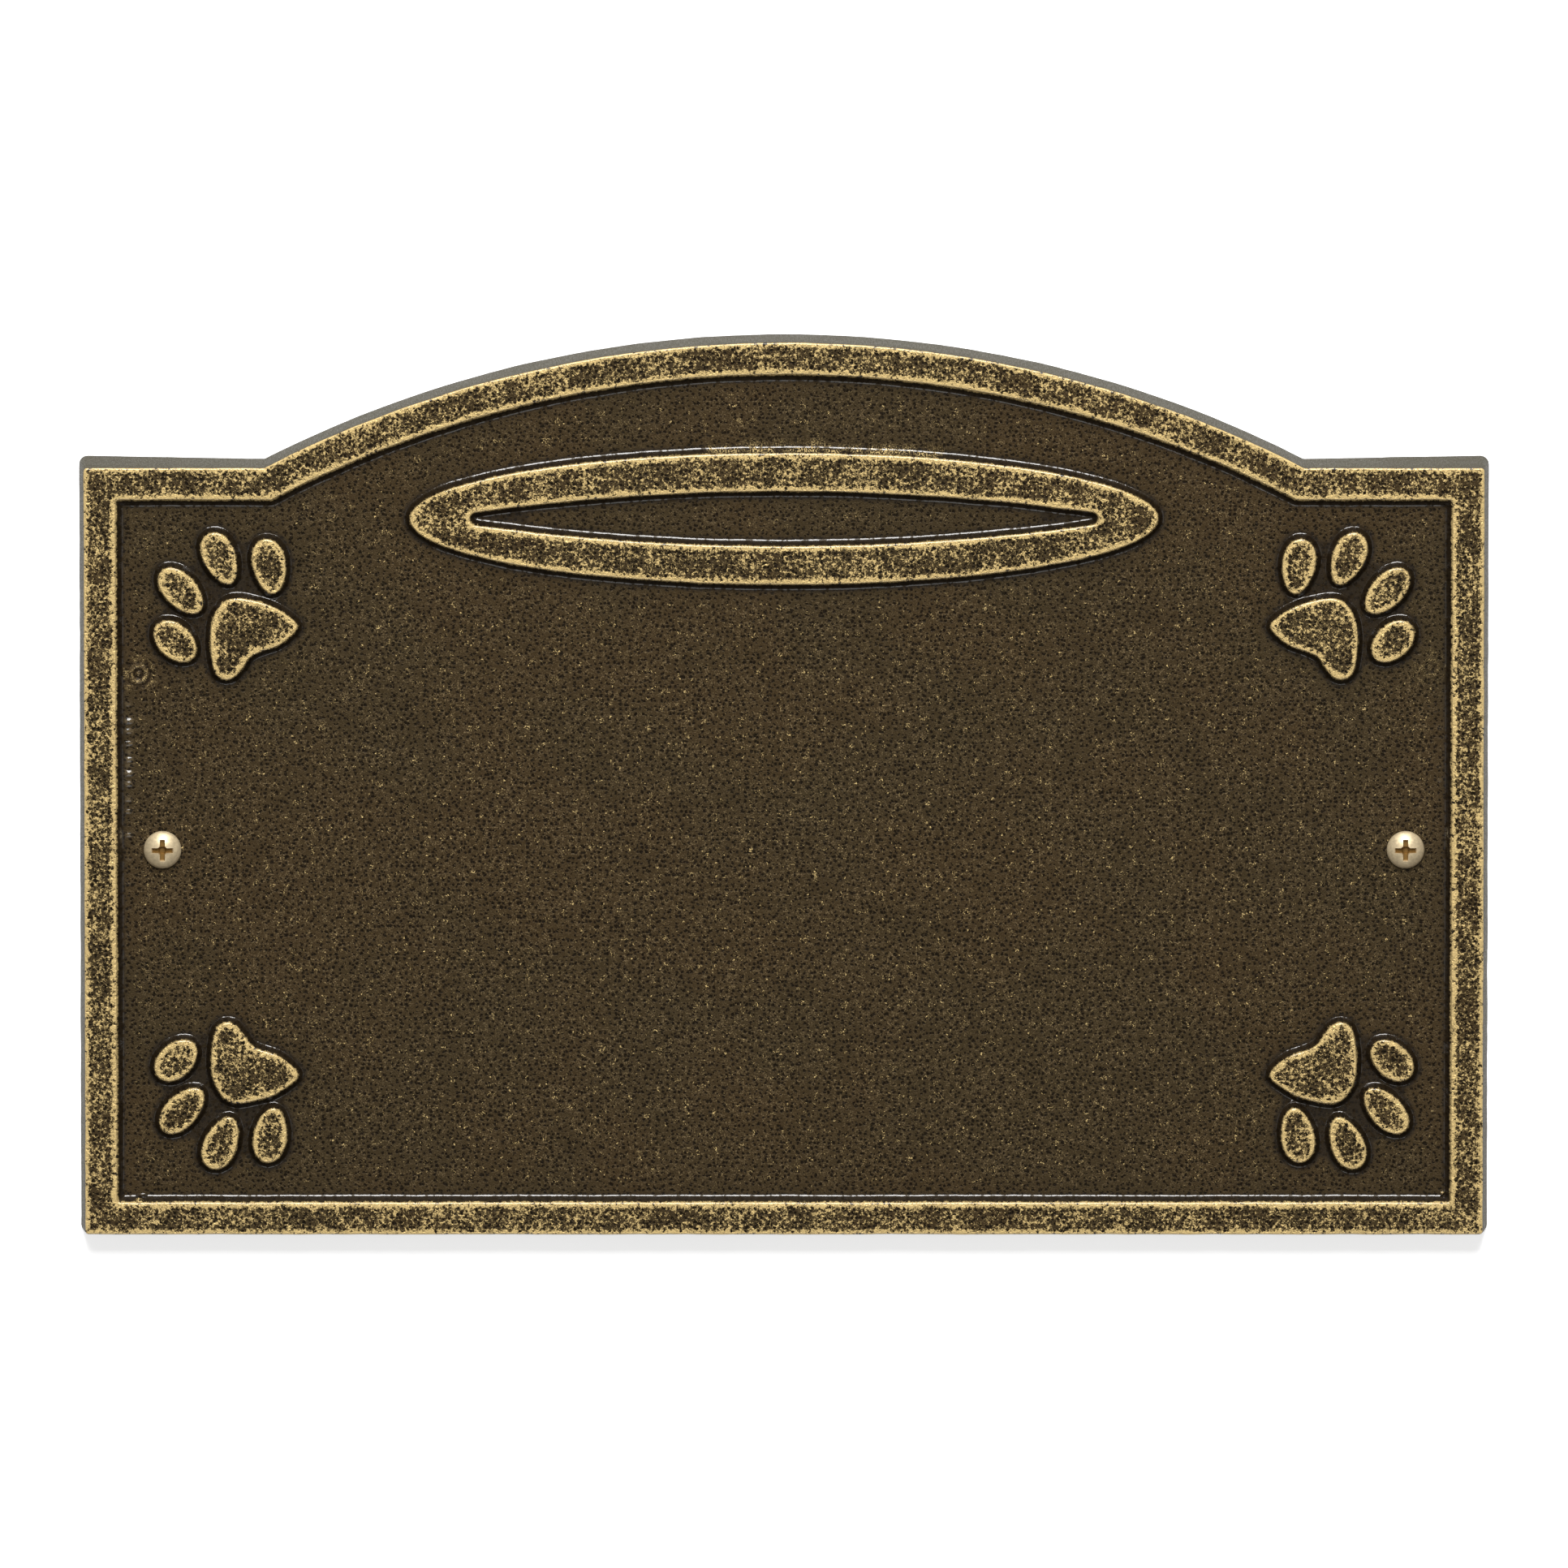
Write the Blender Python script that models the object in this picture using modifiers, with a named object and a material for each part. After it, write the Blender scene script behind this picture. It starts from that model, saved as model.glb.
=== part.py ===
"""A flat cast-metal grave marker with an arched top, lying face up.

The plate is one casting: a drafted slab with a raised flat border, a lens-shaped raised ring under
the arch and a raised paw print in each corner. Two domed cross-recess screws hold it down.
Metres, +Z up, the face looking up, the arch towards +Y, the origin under the middle of the plate.
"""

import math

import bmesh
import bpy

MM = 0.001

# Overall sizes, measured at the underside, where the plate is largest
OVERALL_WIDTH = 393.7 * MM
OVERALL_HEIGHT = 253.0 * MM
THICKNESS = 10.0 * MM

# How far the outer walls lean in from the underside to the face. Each shoulder leans in more
# towards the plate's corner.
SIDE_DRAFT = 1.35 * MM
SHOULDER_DRAFT = 1.6 * MM
SHOULDER_CORNER_DRAFT = 2.5 * MM

# The arch on the top edge, measured on the face
ARCH_RISE = 35.2 * MM
SHOULDER_LENGTH = 50.35 * MM

# The raised border, and how far the drafted walls of the border and of the other raised forms run
BORDER_WIDTH = 8.8 * MM
BORDER_WALL_RUN = 2.0 * MM
RELIEF = 2.2 * MM
WALL_RUN = 1.6 * MM

# Corner roundings
FACE_CORNER = 1.0 * MM
POCKET_CORNER = 0.8 * MM
ARCH_JOINT = 1.5 * MM

# The lens-shaped ring: an ellipse outside, two flat arcs with blunt tips inside
RING_DROP = 49.55 * MM
RING_LENGTH = 208.4 * MM
RING_WIDTH = 36.6 * MM
OPENING_LENGTH = 175.6 * MM
OPENING_WIDTH = 15.8 * MM
OPENING_TIP_RADIUS = 2.0 * MM

# Where the middle of a paw's main pad is, from the face's side, shoulder and bottom edges
PAW_FROM_SIDE = 46.4 * MM
PAW_FROM_SHOULDER = 47.9 * MM
PAW_FROM_BOTTOM = 47.4 * MM
PAW_SIZE = 41.3 * MM

# The screws
SCREW_FROM_SIDE = 21.85 * MM
SCREW_HEAD_WIDTH = 10.5 * MM
SCREW_HEAD_HEIGHT = 2.9 * MM
SCREW_RIM_HEIGHT = 0.7 * MM
SCREW_SHANK_WIDTH = 4.8 * MM
SCREW_END_CLEARANCE = 0.5 * MM
HOLE_CLEARANCE = 0.4 * MM
RECESS_SPAN = 6.3 * MM
RECESS_WING = 1.4 * MM
RECESS_HUB = 2.8 * MM
RECESS_DEPTH = 2.1 * MM
RECESS_TAPER = 0.4
SEAT_GAP = 0.3 * MM

# How far a cutter passes the surface it cuts, and how deep a raised form roots in the plate
CUT_PAST = 1.0 * MM
ROOT = 1.0 * MM

# Segments of the round stretches
CORNER_STEPS = 5
ARCH_STEPS = 28
RING_STEPS = 96
TIP_STEPS = 5
TOE_STEPS = 28
PAD_STEPS = 3
TURN_STEPS = 32
DOME_STEPS = 7

# Edges sharper than this, in degrees, stay crisp, and points this close are one
CRISP_ANGLE = 40.0
SAME_POINT = 0.01 * MM

# A toe of the top-left paw: its middle, length and width as shares of the paw's size, its lean to
# the left in degrees, and how much narrower its lower end is
TOES = (
    (-0.201, 0.541, 0.366, 0.208, 23.0, 0.20),
    (0.133, 0.488, 0.368, 0.215, 9.0, 0.16),
    (-0.466, 0.321, 0.372, 0.208, 43.0, 0.08),
    (-0.505, -0.023, 0.327, 0.220, 47.0, 0.04),
)

# The outline of the top-left paw's main pad, as shares of the paw's size from the pad's middle
PAD = (
    (-0.186, 0.229),
    (-0.124, 0.263),
    (-0.040, 0.264),
    (0.138, 0.218),
    (0.263, 0.144),
    (0.318, 0.087),
    (0.291, 0.033),
    (0.196, -0.044),
    (0.070, -0.090),
    (-0.005, -0.130),
    (-0.047, -0.193),
    (-0.104, -0.260),
    (-0.170, -0.278),
    (-0.232, -0.232),
    (-0.259, -0.092),
    (-0.262, 0.039),
    (-0.240, 0.141),
)

# Values that follow from the sizes above
FIELD = THICKNESS - RELIEF
FACE_HALF_WIDTH = OVERALL_WIDTH / 2 - SIDE_DRAFT
FACE_BOTTOM = SIDE_DRAFT - OVERALL_HEIGHT / 2
FACE_APEX = OVERALL_HEIGHT / 2 - SIDE_DRAFT
FACE_SHOULDER = FACE_APEX - ARCH_RISE
ARCH_HALF_CHORD = FACE_HALF_WIDTH - SHOULDER_LENGTH
ARCH_RADIUS = (ARCH_HALF_CHORD**2 + ARCH_RISE**2) / (2 * ARCH_RISE)
ARCH_CENTRE = FACE_APEX - ARCH_RADIUS
MIDDLE = (FACE_BOTTOM + FACE_SHOULDER) / 2
OPENING_TIP = OPENING_LENGTH / 2 - OPENING_TIP_RADIUS
OPENING_ARC_RADIUS = (OPENING_TIP**2 + OPENING_WIDTH**2 / 4 - OPENING_TIP_RADIUS**2) / (
    OPENING_WIDTH - 2 * OPENING_TIP_RADIUS
)
SCREW_X = FACE_HALF_WIDTH - SCREW_FROM_SIDE


def clear_scene():
    """Removes what the scene holds."""
    for obj in list(bpy.data.objects):
        bpy.data.objects.remove(obj, do_unlink=True)


def new_collection(name):
    """A collection under the scene's own."""
    made = bpy.data.collections.new(name)
    bpy.context.scene.collection.children.link(made)
    return made


def new_material(name, colour, metallic, roughness):
    """A plain Principled material."""
    made = bpy.data.materials.new(name)
    made.use_nodes = True
    shader = made.node_tree.nodes["Principled BSDF"]
    shader.inputs["Base Color"].default_value = (*colour, 1.0)
    shader.inputs["Metallic"].default_value = metallic
    shader.inputs["Roughness"].default_value = roughness
    return made


def arc(centre, radius, start, end, steps):
    """Points along an arc from one angle to another, in degrees, both ends included."""
    points = []
    for step in range(steps + 1):
        angle = math.radians(start + (end - start) * step / steps)
        points.append((centre[0] + radius * math.cos(angle), centre[1] + radius * math.sin(angle)))
    return points


def plate_outline(inset, corner, shoulder=None, shoulder_corner=None):
    """The plate's outline, drawn in from the face's edge by inset, or out where it is negative.

    A shoulder's height can be given apart from the inset, at the arch's foot and at the corner.
    """
    if shoulder is None:
        shoulder = shoulder_corner = FACE_SHOULDER - inset
    side = FACE_HALF_WIDTH - inset
    bottom = FACE_BOTTOM + inset
    radius = ARCH_RADIUS - inset
    rise = shoulder + ARCH_JOINT - ARCH_CENTRE
    joint_x = math.sqrt((radius + ARCH_JOINT) ** 2 - rise**2)
    foot = math.degrees(math.atan2(rise, joint_x))
    right = arc((side - corner, bottom + corner), corner, 270, 360, CORNER_STEPS)
    right += arc((side - corner, shoulder_corner - corner), corner, 0, 90, CORNER_STEPS)
    right += arc((joint_x, shoulder + ARCH_JOINT), ARCH_JOINT, 270, 180 + foot, CORNER_STEPS)
    right += arc((0.0, ARCH_CENTRE), radius, foot, 90, ARCH_STEPS)[1:]
    left = [(-x, y) for x, y in reversed(right[:-1])]
    return right + left


def ring_outline():
    """The ellipse round the outside of the ring's top."""
    points = []
    for step in range(RING_STEPS):
        angle = 2 * math.pi * step / RING_STEPS
        points.append((RING_LENGTH / 2 * math.cos(angle), RING_WIDTH / 2 * math.sin(angle)))
    return points


def opening_outline():
    """Two flat arcs joined by a small round tip at each end, round the ring's opening."""
    drop = OPENING_ARC_RADIUS - OPENING_WIDTH / 2
    lean = math.degrees(math.atan2(OPENING_TIP, drop))
    half_steps = RING_STEPS // 4
    upper = arc((0.0, -drop), OPENING_ARC_RADIUS, 90 - lean, 90 + lean, 2 * half_steps)
    left = arc((-OPENING_TIP, 0.0), OPENING_TIP_RADIUS, 90 + lean, 270 - lean, 2 * TIP_STEPS)
    half = upper + left[1:-1]
    return half + [(-x, -y) for x, y in half]


def toe_outline(length, width, narrowing):
    """An egg standing upright, narrower at its lower end."""
    points = []
    for step in range(TOE_STEPS):
        angle = 2 * math.pi * step / TOE_STEPS
        along = math.cos(angle)
        across = math.sin(angle) * (1 + narrowing * along)
        points.append((-width / 2 * across, length / 2 * along))
    return points


def smooth_loop(points, steps):
    """A smooth closed curve through a few points, with so many steps from each to the next."""
    count = len(points)
    made = []
    for i in range(count):
        before, start, end, after = (points[(i + k) % count] for k in (-1, 0, 1, 2))
        for step in range(steps):
            t = step / steps
            made.append(
                tuple(
                    0.5 * (2 * b + (c - a) * t + (2 * a - 5 * b + 4 * c - d) * t**2
                           + (3 * b - a - 3 * c + d) * t**3)
                    for a, b, c, d in zip(before, start, end, after)
                )
            )
    return made


def placed(points, centre, lean=0.0):
    """An outline turned to the left by lean degrees and moved to its centre."""
    angle = math.radians(lean)
    cos, sin = math.cos(angle), math.sin(angle)
    return [(centre[0] + x * cos - y * sin, centre[1] + x * sin + y * cos) for x, y in points]


def area(points):
    """Twice the signed area of an outline, positive where it runs anticlockwise."""
    pairs = zip(points, points[1:] + points[:1])
    return sum(a[0] * b[1] - b[0] * a[1] for a, b in pairs)


def grown(points, distance):
    """An outline moved outwards by a distance, at right angles to itself."""
    turn = math.copysign(1.0, area(points))
    made = []
    for i, (x, y) in enumerate(points):
        before, after = points[i - 1], points[(i + 1) % len(points)]
        run_x, run_y = after[0] - before[0], after[1] - before[1]
        reach = turn * distance / math.hypot(run_x, run_y)
        made.append((x + run_y * reach, y - run_x * reach))
    return made


def add_block(mesh, sections):
    """Adds a closed block that passes through level sections, each a height and an outline."""
    levels = []
    for height, outline in sections:
        levels.append([mesh.verts.new((x, y, height)) for x, y in outline])
    for lower, upper in zip(levels, levels[1:]):
        for i in range(len(lower)):
            mesh.faces.new((lower[i - 1], lower[i], upper[i], upper[i - 1]))
    mesh.faces.new(levels[0])
    mesh.faces.new(levels[-1])


def mesh_object(name, mesh, collection, smooth_angle=None):
    """An object from a bmesh, with its faces turned outwards."""
    bmesh.ops.recalc_face_normals(mesh, faces=mesh.faces)
    data = bpy.data.meshes.new(name)
    mesh.to_mesh(data)
    mesh.free()
    if smooth_angle is not None:
        data.shade_smooth()
        data.set_sharp_from_angle(angle=math.radians(smooth_angle))
    obj = bpy.data.objects.new(name, data)
    collection.objects.link(obj)
    return obj


def as_helper(obj):
    """Marks an object as one that only cuts or joins another."""
    obj.hide_render = True
    obj.display_type = "WIRE"
    return obj


def add_boolean(obj, other, operation):
    """Cuts or joins another object, exactly."""
    modifier = obj.modifiers.new(other.name, "BOOLEAN")
    modifier.operation = operation
    modifier.solver = "EXACT"
    modifier.object = other


def raised_sections(outline):
    """The levels of a raised form: rooted in the plate, at the field, and at the flat top."""
    foot = grown(outline, WALL_RUN)
    return ((FIELD - ROOT, foot), (FIELD, foot), (THICKNESS, outline))


def make_slab(collection):
    """The drafted slab, larger at the underside than at the face."""
    mesh = bmesh.new()
    under = plate_outline(
        -SIDE_DRAFT,
        FACE_CORNER + SIDE_DRAFT,
        FACE_SHOULDER + SHOULDER_DRAFT,
        FACE_SHOULDER + SHOULDER_CORNER_DRAFT,
    )
    face = plate_outline(0.0, FACE_CORNER)
    add_block(mesh, ((0.0, under), (THICKNESS, face)))
    return mesh_object("marker_plate", mesh, collection, CRISP_ANGLE)


def make_pocket_cutter(collection):
    """What sinks the field below the border."""
    past = BORDER_WIDTH - BORDER_WALL_RUN * CUT_PAST / RELIEF
    mesh = bmesh.new()
    add_block(
        mesh,
        (
            (FIELD, plate_outline(BORDER_WIDTH + BORDER_WALL_RUN, POCKET_CORNER)),
            (THICKNESS + CUT_PAST, plate_outline(past, POCKET_CORNER)),
        ),
    )
    return as_helper(mesh_object("field_cutter", mesh, collection))


def make_ring(collection):
    """The lens-shaped ring, with its opening cut through."""
    centre = (0.0, FACE_APEX - RING_DROP)
    mesh = bmesh.new()
    add_block(mesh, raised_sections(placed(ring_outline(), centre)))
    ring = as_helper(mesh_object("ring_form", mesh, collection))
    opening = placed(opening_outline(), centre)
    foot = grown(opening, -WALL_RUN)
    mesh = bmesh.new()
    add_block(
        mesh,
        (
            (FIELD - ROOT - CUT_PAST, foot),
            (FIELD, foot),
            (THICKNESS, opening),
            (THICKNESS + CUT_PAST, opening),
        ),
    )
    cutter = as_helper(mesh_object("opening_cutter", mesh, collection))
    add_boolean(ring, cutter, "DIFFERENCE")
    return ring


def paw_outlines():
    """The pads of the top-left paw, from the middle of its main pad."""
    outlines = []
    for x, y, length, width, lean, narrowing in TOES:
        toe = toe_outline(length * PAW_SIZE, width * PAW_SIZE, narrowing)
        outlines.append(placed(toe, (x * PAW_SIZE, y * PAW_SIZE), lean))
    pad = [(x * PAW_SIZE, y * PAW_SIZE) for x, y in PAD]
    outlines.append(smooth_loop(pad, PAD_STEPS))
    return outlines


def make_paws(collection):
    """Four paws, each the mirror image of its neighbours, their toes towards the corners."""
    mesh = bmesh.new()
    for side in (-1, 1):
        for end in (-1, 1):
            if end > 0:
                centre_y = FACE_SHOULDER - PAW_FROM_SHOULDER
            else:
                centre_y = FACE_BOTTOM + PAW_FROM_BOTTOM
            centre_x = side * (FACE_HALF_WIDTH - PAW_FROM_SIDE)
            for outline in paw_outlines():
                turned = [(-side * x + centre_x, end * y + centre_y) for x, y in outline]
                add_block(mesh, raised_sections(turned))
    return as_helper(mesh_object("paw_forms", mesh, collection))


def make_hole_cutter(name, x, collection):
    """The clearance hole of one screw."""
    mesh = bmesh.new()
    radius = SCREW_SHANK_WIDTH / 2 + HOLE_CLEARANCE
    bmesh.ops.create_cone(
        mesh,
        cap_ends=True,
        segments=TURN_STEPS,
        radius1=radius,
        radius2=radius,
        depth=THICKNESS + 2 * CUT_PAST,
    )
    bmesh.ops.translate(mesh, verts=mesh.verts, vec=(x, MIDDLE, THICKNESS / 2))
    return as_helper(mesh_object(name, mesh, collection))


def make_plate(parts, helpers, material):
    """The whole casting."""
    plate = make_slab(parts)
    add_boolean(plate, make_pocket_cutter(helpers), "DIFFERENCE")
    add_boolean(plate, make_ring(helpers), "UNION")
    add_boolean(plate, make_paws(helpers), "UNION")
    for name, x in (("hole_left", -SCREW_X), ("hole_right", SCREW_X)):
        add_boolean(plate, make_hole_cutter(name, x, helpers), "DIFFERENCE")
    plate.data.materials.append(material)
    return plate


def screw_profile():
    """One side of a screw, from the top of its dome down to the end of its shank."""
    head_foot = FIELD + SEAT_GAP
    rim = head_foot + SCREW_RIM_HEIGHT
    half = SCREW_HEAD_WIDTH / 2
    rise = SCREW_HEAD_HEIGHT - SCREW_RIM_HEIGHT
    points = []
    for step in range(DOME_STEPS + 1):
        angle = math.pi / 2 * step / DOME_STEPS
        points.append((half * math.sin(angle), rim + rise * math.cos(angle)))
    points.append((half, head_foot))
    points.append((SCREW_SHANK_WIDTH / 2, head_foot))
    points.append((SCREW_SHANK_WIDTH / 2, SCREW_END_CLEARANCE))
    points.append((0.0, SCREW_END_CLEARANCE))
    return points


def make_recess_cutter(name, centre, length, width, turn, collection):
    """One tapered bar of the cross recess."""
    top = FIELD + SEAT_GAP + SCREW_HEAD_HEIGHT
    bottom = top - RECESS_DEPTH
    corners = ((-0.5, -0.5), (0.5, -0.5), (0.5, 0.5), (-0.5, 0.5))
    box = [(x * length, y * width) for x, y in corners]
    small = [(x * RECESS_TAPER, y * RECESS_TAPER) for x, y in box]
    mesh = bmesh.new()
    add_block(
        mesh,
        (
            (bottom, placed(small, centre, turn)),
            (top, placed(box, centre, turn)),
            (top + CUT_PAST, placed(box, centre, turn)),
        ),
    )
    return as_helper(mesh_object(name, mesh, collection))


def make_screw(name, x, parts, helpers, material):
    """A domed screw with a cross recess, turned on its axis."""
    profile = screw_profile()
    data = bpy.data.meshes.new(name)
    edges = [(i, i + 1) for i in range(len(profile) - 1)]
    data.from_pydata([(r, 0.0, z) for r, z in profile], edges, [])
    screw = bpy.data.objects.new(name, data)
    screw.location = (x, MIDDLE, 0.0)
    parts.objects.link(screw)
    turned = screw.modifiers.new("turned", "SCREW")
    turned.steps = TURN_STEPS
    turned.render_steps = TURN_STEPS
    turned.use_merge_vertices = True
    turned.merge_threshold = SAME_POINT
    turned.use_smooth_shade = True
    centre = (x, MIDDLE)
    bars = (
        ("wing_across", RECESS_SPAN, RECESS_WING, 0.0),
        ("wing_along", RECESS_SPAN, RECESS_WING, 90.0),
        ("hub", RECESS_HUB, RECESS_HUB, 45.0),
    )
    for bar, length, width, turn in bars:
        cutter = make_recess_cutter(f"{name}_{bar}", centre, length, width, turn, helpers)
        add_boolean(screw, cutter, "DIFFERENCE")
    screw.data.materials.append(material)
    return screw


def main():
    """Builds the plate and its two screws."""
    clear_scene()
    parts = new_collection("grave_marker")
    helpers = new_collection("grave_marker_helpers")
    bronze = new_material("antique_bronze_paint", (0.055, 0.042, 0.026), 0.35, 0.5)
    brass = new_material("screw_brass", (0.62, 0.5, 0.27), 1.0, 0.35)
    make_plate(parts, helpers, bronze)
    make_screw("screw_left", -SCREW_X, parts, helpers, brass)
    make_screw("screw_right", SCREW_X, parts, helpers, brass)


main()
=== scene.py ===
"""The looks of a flat cast-metal grave marker, lying face up on a pale floor.

The plate is one casting: an arched slab with a raised border, a lens-shaped ring and four raised paw
prints, under dark bronze paint with brass rubbed on its high places. Two domed brass screws with a
cross recess hold it down. Metres, +Z up out of the face, the arch towards +Y.
"""

from __future__ import annotations

import logging
import math
from dataclasses import dataclass, field
from enum import Enum
from typing import Iterable, Sequence

import bmesh
import bpy
from mathutils import Matrix, Vector, kdtree, noise


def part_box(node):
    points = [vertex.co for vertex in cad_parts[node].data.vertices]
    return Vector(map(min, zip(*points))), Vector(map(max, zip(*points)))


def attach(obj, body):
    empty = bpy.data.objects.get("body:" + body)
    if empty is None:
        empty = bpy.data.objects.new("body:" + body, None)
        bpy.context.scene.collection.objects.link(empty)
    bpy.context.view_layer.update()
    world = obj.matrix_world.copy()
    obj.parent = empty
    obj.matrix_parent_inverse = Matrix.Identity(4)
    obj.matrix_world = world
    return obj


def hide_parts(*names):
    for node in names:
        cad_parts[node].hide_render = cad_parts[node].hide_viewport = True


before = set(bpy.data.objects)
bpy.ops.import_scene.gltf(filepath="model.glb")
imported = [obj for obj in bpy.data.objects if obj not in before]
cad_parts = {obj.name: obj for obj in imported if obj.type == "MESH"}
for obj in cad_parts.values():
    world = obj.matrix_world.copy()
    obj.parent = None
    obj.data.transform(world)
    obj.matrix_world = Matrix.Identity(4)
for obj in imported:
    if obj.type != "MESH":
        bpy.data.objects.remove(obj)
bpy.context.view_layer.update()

MM = 0.001
BODY = "root"

Point = tuple[float, float]
Outline = list[Point]
Colour = tuple[float, float, float]
Loop = list[bmesh.types.BMVert]
Socket = bpy.types.NodeSocket
Source = bpy.types.NodeSocket | float

log = logging.getLogger("grave_marker")


class Side(Enum):
    """A side of the marker, as a sign along X."""

    LEFT = -1
    RIGHT = 1


class End(Enum):
    """An end of the marker, as a sign along Y."""

    BOTTOM = -1
    TOP = 1


class Layer(Enum):
    """The values that the casting's mesh carries to its finish."""

    TOP = "raised_top"
    REACH = "from_edge"
    PLAIN = "plain_paint"
    FLECK = "flecked"
    MARK = "mould_mark"


# Outlines


def run(start: Point, end: Point, steps: int) -> Outline:
    """Points along a straight run, without its last one.

    Args:
        start: where the run starts.
        end: where it ends.
        steps: how many parts it is split into.

    Returns:
        The points from start up to the one before end.
    """
    return [
        (start[0] + (end[0] - start[0]) * i / steps, start[1] + (end[1] - start[1]) * i / steps)
        for i in range(steps)
    ]


def arc(centre: Point, radius: float, start: float, end: float, steps: int) -> Outline:
    """Points along an arc, both ends included.

    Args:
        centre: the arc's centre.
        radius: its radius.
        start: its first angle, in degrees.
        end: its last angle, in degrees.
        steps: how many parts it is split into.

    Returns:
        The arc's points in order.
    """
    points = []
    for i in range(steps + 1):
        angle = math.radians(start + (end - start) * i / steps)
        points.append((centre[0] + radius * math.cos(angle), centre[1] + radius * math.sin(angle)))
    return points


def signed_area(points: Outline) -> float:
    """Twice an outline's area, positive where it runs anticlockwise."""
    return sum(a[0] * b[1] - b[0] * a[1] for a, b in zip(points, points[1:] + points[:1]))


def grown(points: Outline, distance: float) -> Outline:
    """An outline moved outwards at right angles to itself.

    Args:
        points: the outline.
        distance: how far it moves; inwards where it is negative.

    Returns:
        The moved outline, point for point.
    """
    turn = math.copysign(1.0, signed_area(points))
    made = []
    for i, (x, y) in enumerate(points):
        before, after = points[i - 1], points[(i + 1) % len(points)]
        run_x, run_y = after[0] - before[0], after[1] - before[1]
        reach = turn * distance / math.hypot(run_x, run_y)
        made.append((x + run_y * reach, y - run_x * reach))
    return made


def between(first: Outline, second: Outline, share: float) -> Outline:
    """The outline part of the way from one to another, point for point."""
    return [
        (a[0] + (b[0] - a[0]) * share, a[1] + (b[1] - a[1]) * share) for a, b in zip(first, second)
    ]


def placed(points: Outline, centre: Point, lean: float = 0.0) -> Outline:
    """An outline turned to the left by lean degrees and moved to its centre."""
    cos, sin = math.cos(math.radians(lean)), math.sin(math.radians(lean))
    return [(centre[0] + x * cos - y * sin, centre[1] + x * sin + y * cos) for x, y in points]


def smooth_loop(points: Outline, steps: int) -> Outline:
    """A smooth closed curve through a few points.

    Args:
        points: the points that it passes through.
        steps: how many parts each stretch between two of them has.

    Returns:
        The curve's points.
    """
    count = len(points)
    made = []
    for i in range(count):
        before, start, end, after = (points[(i + k) % count] for k in (-1, 0, 1, 2))
        for step in range(steps):
            t = step / steps
            made.append(
                tuple(
                    0.5 * (2 * b + (c - a) * t + (2 * a - 5 * b + 4 * c - d) * t**2
                           + (3 * b - a - 3 * c + d) * t**3)
                    for a, b, c, d in zip(before, start, end, after)
                )
            )
    return made


def nearest_points(points: Outline) -> kdtree.KDTree:
    """A search for the nearest of some points."""
    tree = kdtree.KDTree(len(points))
    for i, (x, y) in enumerate(points):
        tree.insert((x, y, 0.0), i)
    tree.balance()
    return tree


def respaced(points: Outline, spacing: float) -> Outline:
    """A closed outline with its points at even distances.

    Args:
        points: the outline.
        spacing: about how far apart its points become.

    Returns:
        The same outline, evenly split.
    """
    closed = points + points[:1]
    lengths = [math.dist(a, b) for a, b in zip(closed, closed[1:])]
    count = max(8, round(sum(lengths) / spacing))
    step = sum(lengths) / count
    made, i, passed = [], 0, 0.0
    for k in range(count):
        while passed + lengths[i] < k * step:
            passed += lengths[i]
            i += 1
        share = (k * step - passed) / lengths[i]
        a, b = closed[i], closed[i + 1]
        made.append((a[0] + (b[0] - a[0]) * share, a[1] + (b[1] - a[1]) * share))
    return made


@dataclass(frozen=True)
class WallProfile:
    """The section of a raised form's wall: a rounded upper edge, a lean and a hollow foot."""

    run: float
    drop: float
    edge_radius: float = 0.9 * MM
    foot_radius: float = 1.0 * MM
    edge_steps: int = 4
    foot_steps: int = 5

    def steps(self) -> list[Point]:
        """The section from the flat top down to the field.

        Returns:
            Pairs of how far outside the top's edge a point is, and how high over the field.
        """
        lean = math.atan2(self.drop, self.run)
        edge_cut = self.edge_radius * math.tan(lean / 2)
        foot_cut = self.foot_radius * math.tan(lean / 2)
        degrees = math.degrees(lean)
        edge_centre = (-edge_cut, self.drop - self.edge_radius)
        edge = arc(edge_centre, self.edge_radius, 90, 90 - degrees, self.edge_steps)
        foot_centre = (self.run + foot_cut, self.foot_radius)
        foot = arc(foot_centre, self.foot_radius, 270 - degrees, 270, self.foot_steps)
        middle = between([edge[-1]], [foot[0]], 0.5)
        return edge + middle + foot


# The marker's plan


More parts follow.
